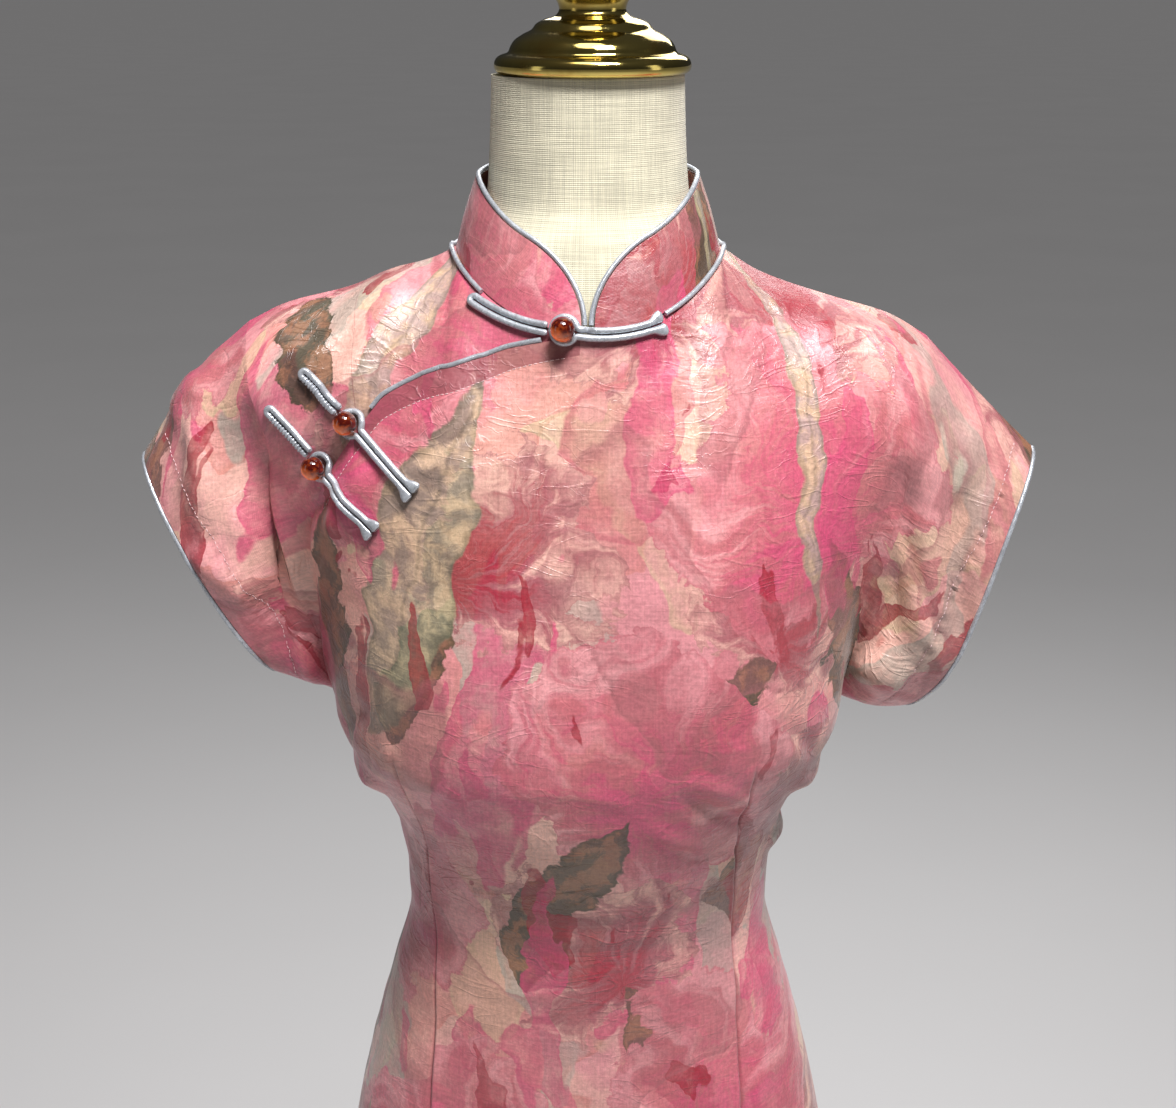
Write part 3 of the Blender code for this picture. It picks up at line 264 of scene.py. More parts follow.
# Frogs: each shoulder frog's outer end, bead and inner end as (u, v); the collar's frog as turns and drops
CORD_FLARE = 1.9
FLARE_ALONG = (0.001, 0.009)
CORD_POINTS = 420
RUCHE_STEP = 0.0021
RUCHE_DEPTH = 0.46
BEAD_CENTRE = 0.0068
BEAD_LOOP_R = 0.0070
SHOULDER_FROGS = {
    "upper": ((-0.612, 0.150), (-0.503, 0.270), (-0.358, 0.428)),
    "lower": ((-0.708, 0.195), (-0.588, 0.352), (-0.450, 0.505)),
}
COLLAR_FROG_TURNS = (-0.272, -0.052, 0.170)
COLLAR_FROG_DROPS = (0.0055, -0.0015, 0.0035)

# Dress form: how far it lies inside the cloth, and its neck as height above the waist, half width, depths
FORM_REST_GAP = 0.0005
FORM_LOOSE_GAP = 0.0036
FORM_ARM_GAP = 0.0105
FORM_BOTTOM_BELOW_WAIST = 0.20
FORM_NECK = (
    (0.4120, 0.0650, 0.0620, 0.0490),
    (0.4320, 0.0565, 0.0535, 0.0450),
    (0.4650, 0.0540, 0.0518, 0.0445),
    (0.4970, 0.0528, 0.0512, 0.0445),
)

# Turned parts: radius, height above their underside
CAP_CENTRE = (0.0025, -0.0034)
CAP_PROFILE = (
    (0.0, 0.0), (0.0505, 0.0), (0.0534, 0.0020), (0.0540, 0.0052), (0.0524, 0.0088), (0.0492, 0.0104),
    (0.0456, 0.0112), (0.0450, 0.0142), (0.0424, 0.0180), (0.0372, 0.0212), (0.0326, 0.0232),
    (0.0310, 0.0262), (0.0262, 0.0286), (0.0200, 0.0302), (0.0178, 0.0330), (0.0188, 0.0370),
    (0.0232, 0.0440), (0.0260, 0.0540), (0.0246, 0.0640), (0.0190, 0.0720), (0.0100, 0.0768), (0.0, 0.0780),
)
# Direction down and towards -X: the side of a turned part where the beads' glow is painted
LOW_SIDE = (0.45, 0.0, 0.75)
POLE_R = 0.0130
POLE_SHOULDER = 0.006
POLE_TAPER = 0.012
STAND_GAP = 0.0003
PLATE_R = 0.040
PLATE_THICK = 0.006
BASE_PROFILE = (
    (0.0, 0.0), (0.1660, 0.0000), (0.1700, 0.0025), (0.1700, 0.0085), (0.1660, 0.0115), (0.1200, 0.0150),
    (0.0600, 0.0210), (0.0320, 0.0290), (0.0240, 0.0400), (0.0230, 0.0700), (0.0205, 0.0740), (0.0, 0.0740),
)

# Mesh fineness
NECK_COLUMNS = 26
SHOULDER_COLUMNS = 52
SLEEVE_COLUMNS_ACROSS = 24
STRIP_ROWS = 13
CHEST_ROWS = 70
UNDERARM_ROWS = 14
WAIST_STEP = 0.016
SKIRT_STEP = 0.030
UNDERARM_END = 1.21
SKIRT_START = 2.4
FLAT_GRID = 320
NEAR = 1e-6

# Where each piece lies on the printed cloth, and how far its inside is shifted from its outside
FRONT_PRINT = (0.0, 0.22)
BACK_PRINT = (1.87, 0.31)
FLAP_PRINT = (3.10, 0.07)
COLLAR_PRINT = (-0.29, 0.45)
INSIDE_PRINT = 0.9
COLLAR_INSIDE_PRINT = 0.4

# Studio: area lights as name, place, size, watts and tint
CHEST = (0.0, 0.0, 1.25)
LIGHTS = (
    ("key_light", (0.45, -1.00, 3.30), (0.7, 0.5), 96.0, (1.0, 0.98, 0.995)),
    ("left_light", (-2.2, -0.9, 1.7), (0.5, 1.6), 2.0, (0.96, 0.98, 1.0)),
    ("right_light", (2.2, -0.5, 1.8), (0.5, 1.6), 3.0, (0.97, 0.98, 1.0)),
    ("rear_light", (0.4, 2.2, 2.6), (1.6, 1.2), 24.0, (1.0, 1.0, 1.0)),
)
SUN_STRENGTH = 0.70
SUN_ANGLE = math.radians(28)
SUN_WAY = (0.05, 0.34, -1.0)
SUN_TINT = (1.0, 0.98, 0.99)
SKY_LOW = (0.026, 0.027, 0.028, 1.0)
SKY_HIGH = (0.060, 0.060, 0.060, 1.0)
BACKDROP = (0.50, 0.50, 0.50, 1.0)
FLOOR_RADII = (0.0, 0.5, 1.0, 2.0, 4.0, 8.0, 16.0, 40.0, 100.0, 250.0)
FLOOR_DROP = 0.0005
CAMERA_AT = (0.0, -1.0, 1.59)
CAMERA_DOWN = 18.2
CAMERA_LENS = 54.2
CAMERA_REACH = 1000.0


# Sizes and colours that a user would change

def length_property(name, description, default, low, high):
    return FloatProperty(
        name=name, description=description, default=default, min=low, max=high, unit="LENGTH",
    )


class DressSizes(PropertyGroup):
    """Sizes of the cloth and its trims."""

    wall: length_property("Cloth", "Thickness of a layer of cloth", 0.0016, 0.0004, 0.003)
    seam_gap: length_property("Seam gap", "Space between pieces at a seam", 0.0003, 0.0, 0.001)
    piping: length_property("Piping", "Radius of the piping", 0.0014, 0.0005, 0.003)
    cord: length_property("Frog cord", "Radius of the frogs' cord", 0.0018, 0.0008, 0.004)
    bead: length_property("Bead", "Radius of the frogs' beads", 0.0066, 0.003, 0.010)
    stitch: length_property("Stitch", "Length of a topstitch", 0.0021, 0.001, 0.005)
    hem: length_property("Hem", "Depth of the skirt's hem", 0.025, 0.01, 0.05)
    turned_sides: IntProperty(
        name="Turned sides", description="Sides of a turned part", default=120, min=24, max=240,
    )


def colour_property(name, description, default):
    return FloatVectorProperty(
        name=name, description=description, default=default, min=0.0, max=1.0, size=3, subtype="COLOR",
    )


class DressColours(PropertyGroup):
    """Colours of the print and of the other finishes."""

    blush: colour_property("Blush", "Ground of the print", (0.72, 0.30, 0.32))
    cream: colour_property("Cream", "Palest washes", (0.76, 0.44, 0.36))
    salmon: colour_property("Salmon", "Warm petals", (0.60, 0.21, 0.17))
    rose: colour_property("Rose", "Petals", (0.50, 0.115, 0.145))
    magenta: colour_property("Magenta", "Strong pink petals", (0.58, 0.065, 0.16))
    # Mauve is also the painted shade in the darts' creases and the cuffs' stitched grooves
    mauve: colour_property("Mauve", "Shaded petals and the flap's facing", (0.22, 0.055, 0.065))
    straw: colour_property("Straw", "Pale stems", (0.62, 0.50, 0.30))
    faded: colour_property("Faded rose", "Dusty petals", (0.33, 0.11, 0.12))
    greige: colour_property("Greige", "Grey washes", (0.40, 0.36, 0.30))
    leaf: colour_property("Leaf", "Leaves", (0.20, 0.22, 0.15))
    olive: colour_property("Olive", "Dark leaves and sheaths", (0.055, 0.052, 0.028))
    bark: colour_property("Bark", "Warm sheaths", (0.24, 0.115, 0.055))
    crimson: colour_property("Crimson", "Small accents", (0.30, 0.010, 0.024))
    silver: colour_property("Silver", "Piping and frogs", (0.50, 0.53, 0.57))
    thread: colour_property("Thread", "Topstitching", (0.74, 0.52, 0.52))
    # Beads: their own dark amber, and the orange of a painted glow laid on their lower part
    amber_dark: colour_property("Amber, dark", "Upper part of a bead", (0.060, 0.004, 0.002))
    amber_painted_glow: colour_property("Amber, glowing", "Lower part of a bead", (0.88, 0.16, 0.02))
    linen: colour_property("Linen", "Cloth of the form", (0.66, 0.62, 0.46))
    brass: colour_property("Brass", "Cap and stand", (0.70, 0.55, 0.16))
    floor: colour_property("Floor", "Studio floor", (0.68, 0.675, 0.67))


def sizes():
    return bpy.context.scene.dress_sizes


def colour(name):
    return (*getattr(bpy.context.scene.dress_colours, name), 1.0)


def layer():
    return sizes().wall + sizes().seam_gap


# Helpers on arrays

def curve_through(x, xs, ys):
    """A smooth curve through a table's points that never overshoots them (harmonic mean slopes)."""
    xs, ys = np.asarray(xs, float), np.asarray(ys, float)
    step = np.diff(xs)
    slope = np.diff(ys) / step
    tangent = np.concatenate([[slope[0]], np.zeros(len(xs) - 2), [slope[-1]]])
    same = slope[:-1] * slope[1:] > 0
    total = np.where(same, slope[:-1] + slope[1:], 1.0)
    tangent[1:-1] = np.where(same, 2 * slope[:-1] * slope[1:] / total, 0.0)
    i = np.clip(np.searchsorted(xs, x, side="right") - 1, 0, len(step) - 1)
    t = np.clip((x - xs[i]) / step[i], 0, 1)
    value = ys[i] * (1 + 2 * t) * (1 - t) ** 2 + ys[i + 1] * t * t * (3 - 2 * t)
    return value + step[i] * t * (1 - t) * (tangent[i] * (1 - t) - tangent[i + 1] * t)


def ease(x, low, high):
    """0 below low, 1 above high, and a smooth step between them."""
    t = np.clip((x - low) / (high - low), 0, 1)
    return t * t * (3 - 2 * t)


def unit(vectors):
    return vectors / np.maximum(np.linalg.norm(vectors, axis=-1, keepdims=True), 1e-12)


def lengths_along(path):
    """The length of a path up to each of its points."""
    return np.concatenate([[0], np.cumsum(np.linalg.norm(np.diff(path, axis=0), axis=1))])


def read_path(at, length, path):
    """A path's points read at given lengths along it."""
    return np.stack([np.interp(at, length, column) for column in path.T], axis=-1)


def between(path):
    """A path's inner points, each drawn towards its two neighbours."""
    return (path[:-2] + 2 * path[1:-1] + path[2:]) / 4


def body_size(up, name):
    """A size of the body section at heights above the waist, read from BODY."""
    i = BODY_COLUMNS.index(name)
    rows = BODY[::-1]
    return curve_through(up, [row[0] for row in rows], [row[i] for row in rows])


def sleeve_size(u, name):
    i = SLEEVE_COLUMNS.index(name)
    return np.where(u < 0, RIGHT_SLEEVE[i], LEFT_SLEEVE[i])


# The surface that every piece of cloth is laid out on

def section(u, up, back):
    """A point of the body's section, a superellipse; u turns round it from the centre to the side seam."""
    angle = np.abs(u) / U_ARM * math.pi / 2
    half, square = body_size(up, "half_width"), body_size(up, "square")
    depth = body_size(up, "back" if back else "front")
    reach = ((np.abs(np.cos(angle)) / depth) ** square + (np.sin(angle) / half) ** square) ** (-1 / square)
    y = reach * np.cos(angle) * (1 if back else -1)
    return np.stack([np.sign(u) * reach * np.sin(angle), y, np.broadcast_to(up, u.shape)], axis=-1)


def top_edge(u, back):
    """The neckline, then the shoulder seam, then the over-arm seam, heights above the waist."""
    out, side = np.abs(u), np.sign(u)
    turn = np.clip(out / U_NECK, 0, 1) * math.pi / 2
    along = np.clip((out - U_NECK) / (U_ARM - U_NECK), 0, 1)
    sleeve = np.clip((out - U_ARM) / (1 - U_ARM), 0, 1.4)
    depth, rise = (NECK_BACK, NECK_BACK_RISE) if back else (-NECK_FRONT, -NECK_FRONT_DROP)
    x = NECK_HALF_WIDTH * np.sin(turn) + (SHOULDER_TIP_OUT - NECK_HALF_WIDTH) * along
    x = x + (sleeve_size(u, "top_out") - SHOULDER_TIP_OUT) * sleeve
    y = depth * np.cos(turn)
    fall = NECK_SIDE_UP - sleeve_size(u, "tip_up")
    z = NECK_SIDE_UP + rise * np.cos(turn) ** 1.5
    z = z - fall * curve_through(along, SHOULDER_FALL_AT, SHOULDER_FALL)
    z = z + (sleeve_size(u, "top_up") - sleeve_size(u, "tip_up")) * sleeve
    z = z + sleeve_size(u, "lift") * 4 * sleeve * (1 - sleeve)
    return np.stack([side * x, y, z], axis=-1)


def armpit_edge(u, back):
    """The body's section at armpit height, then the underarm seam out to the cuff."""
    body = section(np.clip(u, -U_ARM, U_ARM), np.full(u.shape, ARMPIT_UP), back)
    sleeve = np.clip((np.abs(u) - U_ARM) / (1 - U_ARM), 0, 1.4)
    out = (sleeve_size(u, "under_out") - ARMPIT_OUT) * sleeve
    rise = (sleeve_size(u, "under_up") - ARMPIT_UP) * sleeve
    rise = rise - sleeve_size(u, "sag") * 4 * sleeve * (1 - sleeve)
    return body + np.stack([np.sign(u) * out, np.zeros(u.shape), rise], axis=-1)


def softened(edge, u, back, reach):
    """An edge curve with its corners rounded away, as a weighted mean of nearby points."""
    shifts = np.linspace(-1, 1, 9)
    weights = (1 - shifts**2) ** 2 + 0.02
    total = sum(w * edge(u + reach * s, back) for s, w in zip(shifts, weights))
    return total / weights.sum()


def upper(u, v, back):
    """The sheet above the armpits: from the top edge it swells out and falls to the armpit row."""
    top, low = top_edge(u, back), armpit_edge(u, back)
    top_soft, low_soft = softened(top_edge, u, back, 0.19), softened(armpit_edge, u, back, 0.12)
    near_top = ((1 - np.clip(v / 0.35, 0, 1)) ** 2)[..., None]
    near_low = ((1 - np.clip((1 - v) / 0.35, 0, 1)) ** 2)[..., None]
    top = top_soft + (top - top_soft) * near_top
    low = low_soft + (low - low_soft) * near_low
    out = np.abs(u)
    shoulder = ease(out, 0.0, U_NECK)
    power = (2.0 if back else 1.5) + (0.2 if back else 0.7) * shoulder
    root = (0.8 if back else 1.0) - (0.2 if back else 0.4) * shoulder
    forward = (1 - (1 - v) ** power) ** root
    point = top + (low - top) * np.stack([v, forward, v], axis=-1)
    swell = curve_through(out, SWELL_AT, SWELL_BACK if back else SWELL_FRONT)
    cuff = sleeve_size(u, "back" if back else "front")
    sleeve = ease(out, U_ARM, 1.0)
    swell = swell + (cuff - swell) * sleeve
    fade = 2.0 - 1.45 * ease(out, 0.62, 0.86)
    peak = (0.55 / (0.55 + fade)) ** 0.55 * (fade / (0.55 + fade)) ** fade
    arch = v**0.55 * (1 - v) ** fade / peak
    at = sleeve_size(u, "bow_at")
    bow = sleeve_size(u, "bow") * sleeve * np.sin(math.pi * v ** (math.log(0.5) / np.log(at)))
    shift = np.stack([np.sign(u) * bow, swell * arch * (1 if back else -1), np.zeros(u.shape)], axis=-1)
    return point + shift


def bare(u, v, back):
    """The inside face of the cloth before folds, in world space. v past 1 goes straight down the body."""
    u, v = np.broadcast_arrays(np.asarray(u, float), np.asarray(v, float))
    high = upper(u, np.clip(v, 0, 1), back)
    down = ARMPIT_UP - (np.maximum(v, 1) - 1) * V_SPAN
    point = np.where((v <= 1)[..., None], high, section(np.clip(u, -U_ARM, U_ARM), down, back))
    if not back:
        far = ((np.abs(point[..., 0]) - BUST_OUT) / BUST_WIDTH) ** 2
        far = far + ((point[..., 2] - BUST_UP) / BUST_HEIGHT) ** 2
        point = point - np.stack([0 * far, BUST_RISE * np.exp(-far), 0 * far], axis=-1)
    return point + np.array([0, 0, WAIST_Z])


def facing(u, v, back):
    """Outward unit normals of the sheet."""
    step = 0.004
    u, v = np.broadcast_arrays(np.asarray(u, float), np.asarray(v, float))
    across = bare(u + step, v, back) - bare(u - step, v, back)
    low = np.maximum(v, 0.012)
    down = bare(u, low + step, back) - bare(u, low - step, back)
    normal = np.cross(across, down)
    return unit(normal if back else -normal)


def seam_masks(u, v):
    """Where points lie on a shoulder seam and where on an underarm seam."""
    out = np.abs(u)
    return (v < NEAR) & (out > U_NECK - NEAR), (np.abs(v - 1) < NEAR) & (out > U_ARM - NEAR)


def seam_facing(u, v, back):
    """Normals that front and back share along their seams, where their edges meet."""
    own, other = facing(u, v, back), facing(u, v, not back)
    u, v = np.broadcast_arrays(np.asarray(u, float), np.asarray(v, float))
    shoulder, underarm = seam_masks(u, v)
    side = (v > 1 - NEAR) & (np.abs(np.abs(u) - U_ARM) < NEAR)
    return np.where((shoulder | underarm | side)[..., None], unit(own + other), own)


def fold_height(point, rows):
    """How far folds lift the cloth at points: a rounded ridge along each line, fading at its ends."""
    total = np.zeros(point.shape[:-1])
    out, up = point[..., 0], point[..., 2] - WAIST_Z
    for row in rows:
        fold = dict(zip(FOLD_COLUMNS, np.array(row) / 1000))
        run, fall = fold["out1"] - fold["out0"], fold["up1"] - fold["up0"]
        length = math.hypot(run, fall)
        along = ((out - fold["out0"]) * run + (up - fold["up0"]) * fall) / length**2
        aside = ((out - fold["out0"]) * fall - (up - fold["up0"]) * run) / length
        aside = aside - fold["bow"] * 4 * along * (1 - along)
        window = ease(along, -0.05, 0.30) * (1 - ease(along, 0.70, 1.05))
        total = total + fold["height"] * window * np.exp(-((aside / fold["width"]) ** 2))
    return total


def flap_v(u):
    """v of the front flap's edge at u, on the wearer's right."""
    return curve_through(np.abs(u), FLAP_U, FLAP_V)


def flap_start(u):
    """v at which the front panel begins: the flap's edge, drawn back a little by the armpit."""
    return flap_v(u) + FLAP_END_INSET * ease(np.abs(u), 0.62, 0.75)


def past_flap(u, v):
    """Distance down the cloth from the flap's edge, or from the neckline on the wearer's left."""
    return (v - np.where(u < 0, flap_v(np.minimum(u, 0)), 0)) * V_SPAN


def overlap_lift(u, v):
    """How far the front rides up on the flap beneath it, fading away past the overlap."""
    past = past_flap(u, v)
    return layer() * (1 - ease(past, OVERLAP + 0.003, OVERLAP + 0.04)) * (1 - ease(u, 0.03, 0.20))


def dart_u(u, v, back):
    """|u| of the dart on the same side as u."""
    if back:
        return curve_through(v, DART_V, BACK_DART)
    right, left = curve_through(v, DART_V, FRONT_RIGHT_DART), curve_through(v, DART_V, FRONT_LEFT_DART)
    return np.where(u < 0, right, left)


def dart_depth(v):
    """0 at a dart's two points and 1 where it is widest."""
    share = np.clip((v - DART_V[0]) / (DART_V[-1] - DART_V[0]), 0, 1)
    return np.sin(math.pi * share) ** 0.7


def dart_height(u, v, back):
    """A dart's sewn crease with a soft lip on its inner side."""
    aside = (np.abs(u) - dart_u(u, v, back)) * DART_METRES
    crease = -0.0015 * np.exp(-((aside / 0.0010) ** 2))
    lip = 0.0010 * np.exp(-(((aside + 0.0024) / 0.0020) ** 2))
    return (crease + lip) * ease(dart_depth(v), 0.05, 0.35)


def ripple(point):
    """Slight unevenness of worn cloth: three products of slow waves that don't keep in step, 1 at most."""
    x, y, z = point[..., 0], point[..., 1], point[..., 2]
    first = np.sin(131 * x + 3 * np.sin(41 * z)) * np.sin(97 * z + 2 * np.sin(53 * x + 31 * y))
    second = np.sin(71 * x - 88 * z + 2.1) * np.sin(119 * y + 63 * z + 0.7)
    third = np.sin(203 * z + 2.4 * np.sin(67 * x + 1.3)) * np.sin(58 * x - 77 * y + 0.4)
    return (first + second + third) / 3


def cuff_stitch_u(u, v):
    right, left = (curve_through(v, CUFF_V, row) for row in (RIGHT_CUFF_STITCH, LEFT_CUFF_STITCH))
    return np.where(u < 0, right, left)


def hem_height(u, v):
    """The cuff's turned hem: a little thicker than the sleeve and slightly gathered by its stitches."""
    inside = (np.abs(u) - cuff_stitch_u(u, v)) / 0.03
    hem = 0.0005 * ease(inside, -0.15, 0.25)
    groove = -0.0005 * np.exp(-((inside / 0.12) ** 2))
    gather = 0.0009 * np.sin(v * 150 + 2 * np.sin(v * 37)) * np.exp(-(((inside - 0.2) / 0.5) ** 2))
    return (hem + groove + gather) * (v <= 1)


def rest_zone(u, v):
    """1 on the shoulders, where the cloth lies on the form, and 0 where it hangs clear."""
    out = np.abs(u)
    return ease(out, 0.24, 0.33) * (1 - ease(out, 0.48, 0.62)) * (1 - ease(v, 0.13, 0.40))


def detail_height(u, v, at, back):
    """Creases, darts, hems and unevenness, all held off the seams that pieces share."""
    out = np.abs(u)
    free = ease(v, 0.0, 0.05)
    free = free * np.where(v > 1 - 1e-6, 1 - ease(out, U_ARM - 0.030, U_ARM), 1.0)
    free = free * np.where(v <= 1, 1 - ease(v, 0.93, 1.0) * ease(out, U_ARM - 0.12, U_ARM), 1.0)
    creases = fold_height(at, BACK_CREASES if back else FRONT_CREASES)
    total = creases + dart_height(u, v, back) + 0.0006 * ripple(at)
    total = np.where(total < 0, total * (1 - rest_zone(u, v)), total)
    return total * free + hem_height(u, v) * free


def place(u, v, back, depth):
    """Points of the cloth, depth above its inside face."""
    at = bare(u, v, back)
    edge = ease(np.abs(u), 0.985, 1.0) * (np.asarray(v) <= 1)
    lift = depth + fold_height(at, BACK_FOLDS if back else FRONT_FOLDS) * (1 - 0.6 * edge)
    lift = lift + detail_height(*np.broadcast_arrays(u, v), at, back) * (1 - edge)
    return at + seam_facing(u, v, back) * lift[..., None]


# Making meshes

def mesh_piece(name, points, faces, finish, uv=None, values=None, sharp=50.0):
    """A smooth piece from whole arrays: points, faces, and each point's flat place and named values."""
    points, faces = np.asarray(points, np.float32), np.asarray(faces, np.int32)
    mesh = bpy.data.meshes.new(name)
    mesh.vertices.add(len(points))
    mesh.vertices.foreach_set("co", points.ravel())
    mesh.loops.add(faces.size)
    mesh.loops.foreach_set("vertex_index", faces.ravel())
    mesh.polygons.add(len(faces))
    mesh.polygons.foreach_set("loop_start", np.arange(0, faces.size, faces.shape[1], dtype=np.int32))
    mesh.update(calc_edges=True)
    if uv is not None:
        corners = np.asarray(uv, np.float32)[faces.ravel()].ravel()
        mesh.uv_layers.new(name="cloth").data.foreach_set("uv", corners)
    for label, value in (values or {}).items():
        data = mesh.attributes.new(label, "FLOAT", "POINT").data
        data.foreach_set("value", np.asarray(value, np.float32))
    mesh.shade_smooth()
    mesh.set_sharp_from_angle(angle=math.radians(sharp))
    mesh.materials.append(finish)
    piece = bpy.data.objects.new(name, mesh)
    bpy.context.scene.collection.objects.link(piece)
    return piece


def settle_piece(piece, slot, *nodes):
    """Rides a piece on the part's one body and lets it stand for its CAD nodes."""
    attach(piece, "root")
    if nodes:
        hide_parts(*nodes)


def grid_triangles(rows, columns):
    corner = (np.arange(rows - 1)[:, None] * columns + np.arange(columns - 1)).ravel()
    first = np.stack([corner, corner + 1, corner + columns + 1], axis=1)
    second = np.stack([corner, corner + columns + 1, corner + columns], axis=1)
    return np.concatenate([first, second])


def ring_triangles(rings, sides, closed=False):
    """Triangles between each ring of points and the next, and from the last to the first if closed."""
    i, j = np.meshgrid(np.arange(rings if closed else rings - 1), np.arange(sides), indexing="ij")
    near, far, after = i * sides, (i + 1) % rings * sides, (j + 1) % sides
    first = np.stack([near + j, near + after, far + after], axis=-1)
    second = np.stack([near + j, far + after, far + j], axis=-1)
    return np.concatenate([first.reshape(-1, 3), second.reshape(-1, 3)])


def welded(keys, triangles):
    """Triangles renumbered so that rows of keys that agree count once, without those that collapse."""
    _, first, index = np.unique(np.round(keys, 6), axis=0, return_index=True, return_inverse=True)
    triangles = index.reshape(-1)[triangles]
    a, b, c = triangles.T
    return first, triangles[(a != b) & (b != c) & (c != a)]


def wall_faces(triangles, count):
    """Outside triangles, inside ones numbered from count, and a rim between their free edges."""
    ends = np.concatenate([triangles[:, [0, 1]], triangles[:, [1, 2]], triangles[:, [2, 0]]])
    _, used, times = np.unique(np.sort(ends, axis=1), axis=0, return_index=True, return_counts=True)
    free = ends[used[times == 1]]
    near = np.stack([free[:, 0], free[:, 1] + count, free[:, 1]], axis=1)
    far = np.stack([free[:, 0], free[:, 0] + count, free[:, 1] + count], axis=1)
    return np.concatenate([triangles, triangles[:, ::-1] + count, near, far])


def outward_first(points, triangles, outward):
    """The triangles, turned round if most of them look against the outward directions of their points."""
    a, b, c = (points[triangles[:, i]] for i in range(3))
    agree = (np.cross(b - a, c - a) * outward[triangles[:, 0]]).sum(-1)
    return triangles if agree.sum() > 0 else triangles[:, ::-1]


def flat_place(u, v, back):
    """Where points lie on the flat cloth: across it from the centre, and down it from the armpit row.

    Lengths along the sheet are summed up once on an even grid and read from it between its lines.
    """
    columns, rows = np.linspace(-1, 1, FLAT_GRID + 1), np.linspace(0, HEM_V, FLAT_GRID + 1)
    at = bare(columns[None], rows[:, None], back)
    across = np.pad(np.cumsum(np.linalg.norm(np.diff(at, axis=1), axis=-1), axis=1), ((0, 0), (1, 0)))
    down = np.pad(np.cumsum(np.linalg.norm(np.diff(at, axis=0), axis=-1), axis=0), ((1, 0), (0, 0)))
    across = across - across[:, [FLAT_GRID // 2]]
    down = down - np.array([np.interp(1.0, rows, column) for column in down.T])
    column = np.clip((u + 1) / 2 * FLAT_GRID, 0, FLAT_GRID - 0.001)
    row = np.clip(v / HEM_V * FLAT_GRID, 0, FLAT_GRID - 0.001)
    i, j = row.astype(int), column.astype(int)
    low, side = row - i, column - j

    def read(table):
        top = table[i, j] * (1 - side) + table[i, j + 1] * side
        bottom = table[i + 1, j] * (1 - side) + table[i + 1, j + 1] * side
        return top * (1 - low) + bottom * low

    beyond = ease((np.abs(u) - dart_u(u, v, back)) * DART_METRES, -0.0003, 0.0003)
    taken = np.sign(u) * beyond * dart_depth(v) * DART_TAKE * (v > DART_V[0])
    return np.stack([read(across) + taken, read(down)], axis=-1)


def crumpled(at):
    """How creased the cloth is: most round the waist, some by the armpits, least on the skirt."""
    out, up = np.abs(at[..., 0]), at[..., 2] - WAIST_Z
    waist = np.exp(-(((up - 0.045) / 0.060) ** 2))
    armpit = np.exp(-(((up - 0.150) / 0.060) ** 2) - ((out - 0.150) / 0.050) ** 2)
    shoulder = 0.5 * np.exp(-(((up - 0.350) / 0.050) ** 2) - ((out - 0.120) / 0.060) ** 2)
    return np.clip(0.30 + 0.60 * waist + 0.50 * armpit + shoulder, 0, 1)


def seam_painted_shade(u, v, back):
    """Painted shade: 1 deep in a dart's crease or a cuff's stitched groove, 0 away from them; the print is
    darkened there as shadow would darken it.
    """
    aside = (np.abs(u) - dart_u(u, v, back)) * DART_METRES / DART_CREASE
    dart = np.exp(-(aside**2)) * ease(dart_depth(v), 0.05, 0.35)
    cuff = 0.6 * np.exp(-(((np.abs(u) - cuff_stitch_u(u, v)) / 0.006) ** 2)) * (v <= 1)
    return np.maximum(dart, cuff)


def shell(name, patches, back, lift, trim, shift, finish):
    """A cloth wall over patches of (u, v) points, welded where they agree; shift moves its print."""
    us = np.concatenate([u.ravel() for u, v in patches])
    vs = np.concatenate([v.ravel() for u, v in patches])
    starts = np.cumsum([0] + [u.size for u, v in patches])
    triangles = np.concatenate([grid_triangles(*u.shape) + s for (u, v), s in zip(patches, starts)])
    first, triangles = welded(np.stack([us, vs], axis=1), triangles)
    us, vs = us[first], vs[first]
    flat = flat_place(us, vs, back) + np.array(shift)
    moved = trim(us, vs)
    low = lift(us, vs)
    inside = place(us, vs, back, low) + moved
    outside = place(us, vs, back, low + sizes().wall) + moved
    triangles = outward_first(outside, triangles, outside - inside)
    facing_strip = np.where((us < -0.01) & (us > -0.50) & (not back), past_flap(us, vs), 1.0)
    values = {
        "crumple": crumpled(inside),
        "edge": np.clip(facing_strip, -0.1, 0.1),
        # seam values carry painted shade for the darts' creases and the cuffs' stitched grooves
        "seam": seam_painted_shade(us, vs, back),
    }
    return mesh_piece(
        name,
        np.concatenate([outside, inside]),
        wall_faces(triangles, len(us)),
        finish,
        np.concatenate([flat, flat + INSIDE_PRINT]),
        {label: np.concatenate([value, value]) for label, value in values.items()},
    )


def seam_trim(back):
    """Half the seam gap, taken off along the shoulder, underarm and side seams."""
    def trim(u, v):
        half = sizes().seam_gap * 0.6
        side = unit(bare(u * 0.98, v, back) - bare(u, v, back)) * half
        down = unit(bare(u, v + 0.03, back) - bare(u, v, back)) * half
        up = unit(bare(u, np.maximum(v - 0.03, 0), back) - bare(u, v, back)) * half
        shoulder, underarm = seam_masks(u, v)
        below = (v > 1 + NEAR) & (np.abs(u) > U_ARM - NEAR)
        return down * shoulder[..., None] + up * underarm[..., None] + side * below[..., None]
    return trim


def slit_share(v):
    """The share of a panel's width that is left at v: the side edges part below the slit's top."""
    down = (v - 1) * V_SPAN - ARMPIT_UP
    opening = SLIT_OPENING * 0.5 * ease(down, SLIT_TOP_BELOW_WAIST, HEM_BELOW_WAIST)
    return 1 - opening / 0.24


def body_columns(darts):
    """Columns from side seam to side seam, with a few close together beside each dart."""
    neck = np.linspace(0, U_NECK, NECK_COLUMNS + 1)
    half = np.concatenate([neck, np.linspace(U_NECK, U_ARM, SHOULDER_COLUMNS + 1)[1:]])
    columns = np.concatenate([-half[:0:-1], half])
    for dart in darts:
        columns = columns[np.abs(columns - dart) > 0.0050]
        columns = np.concatenate([columns, dart + np.array(DART_BESIDE)])
    return np.unique(np.round(columns, 5))


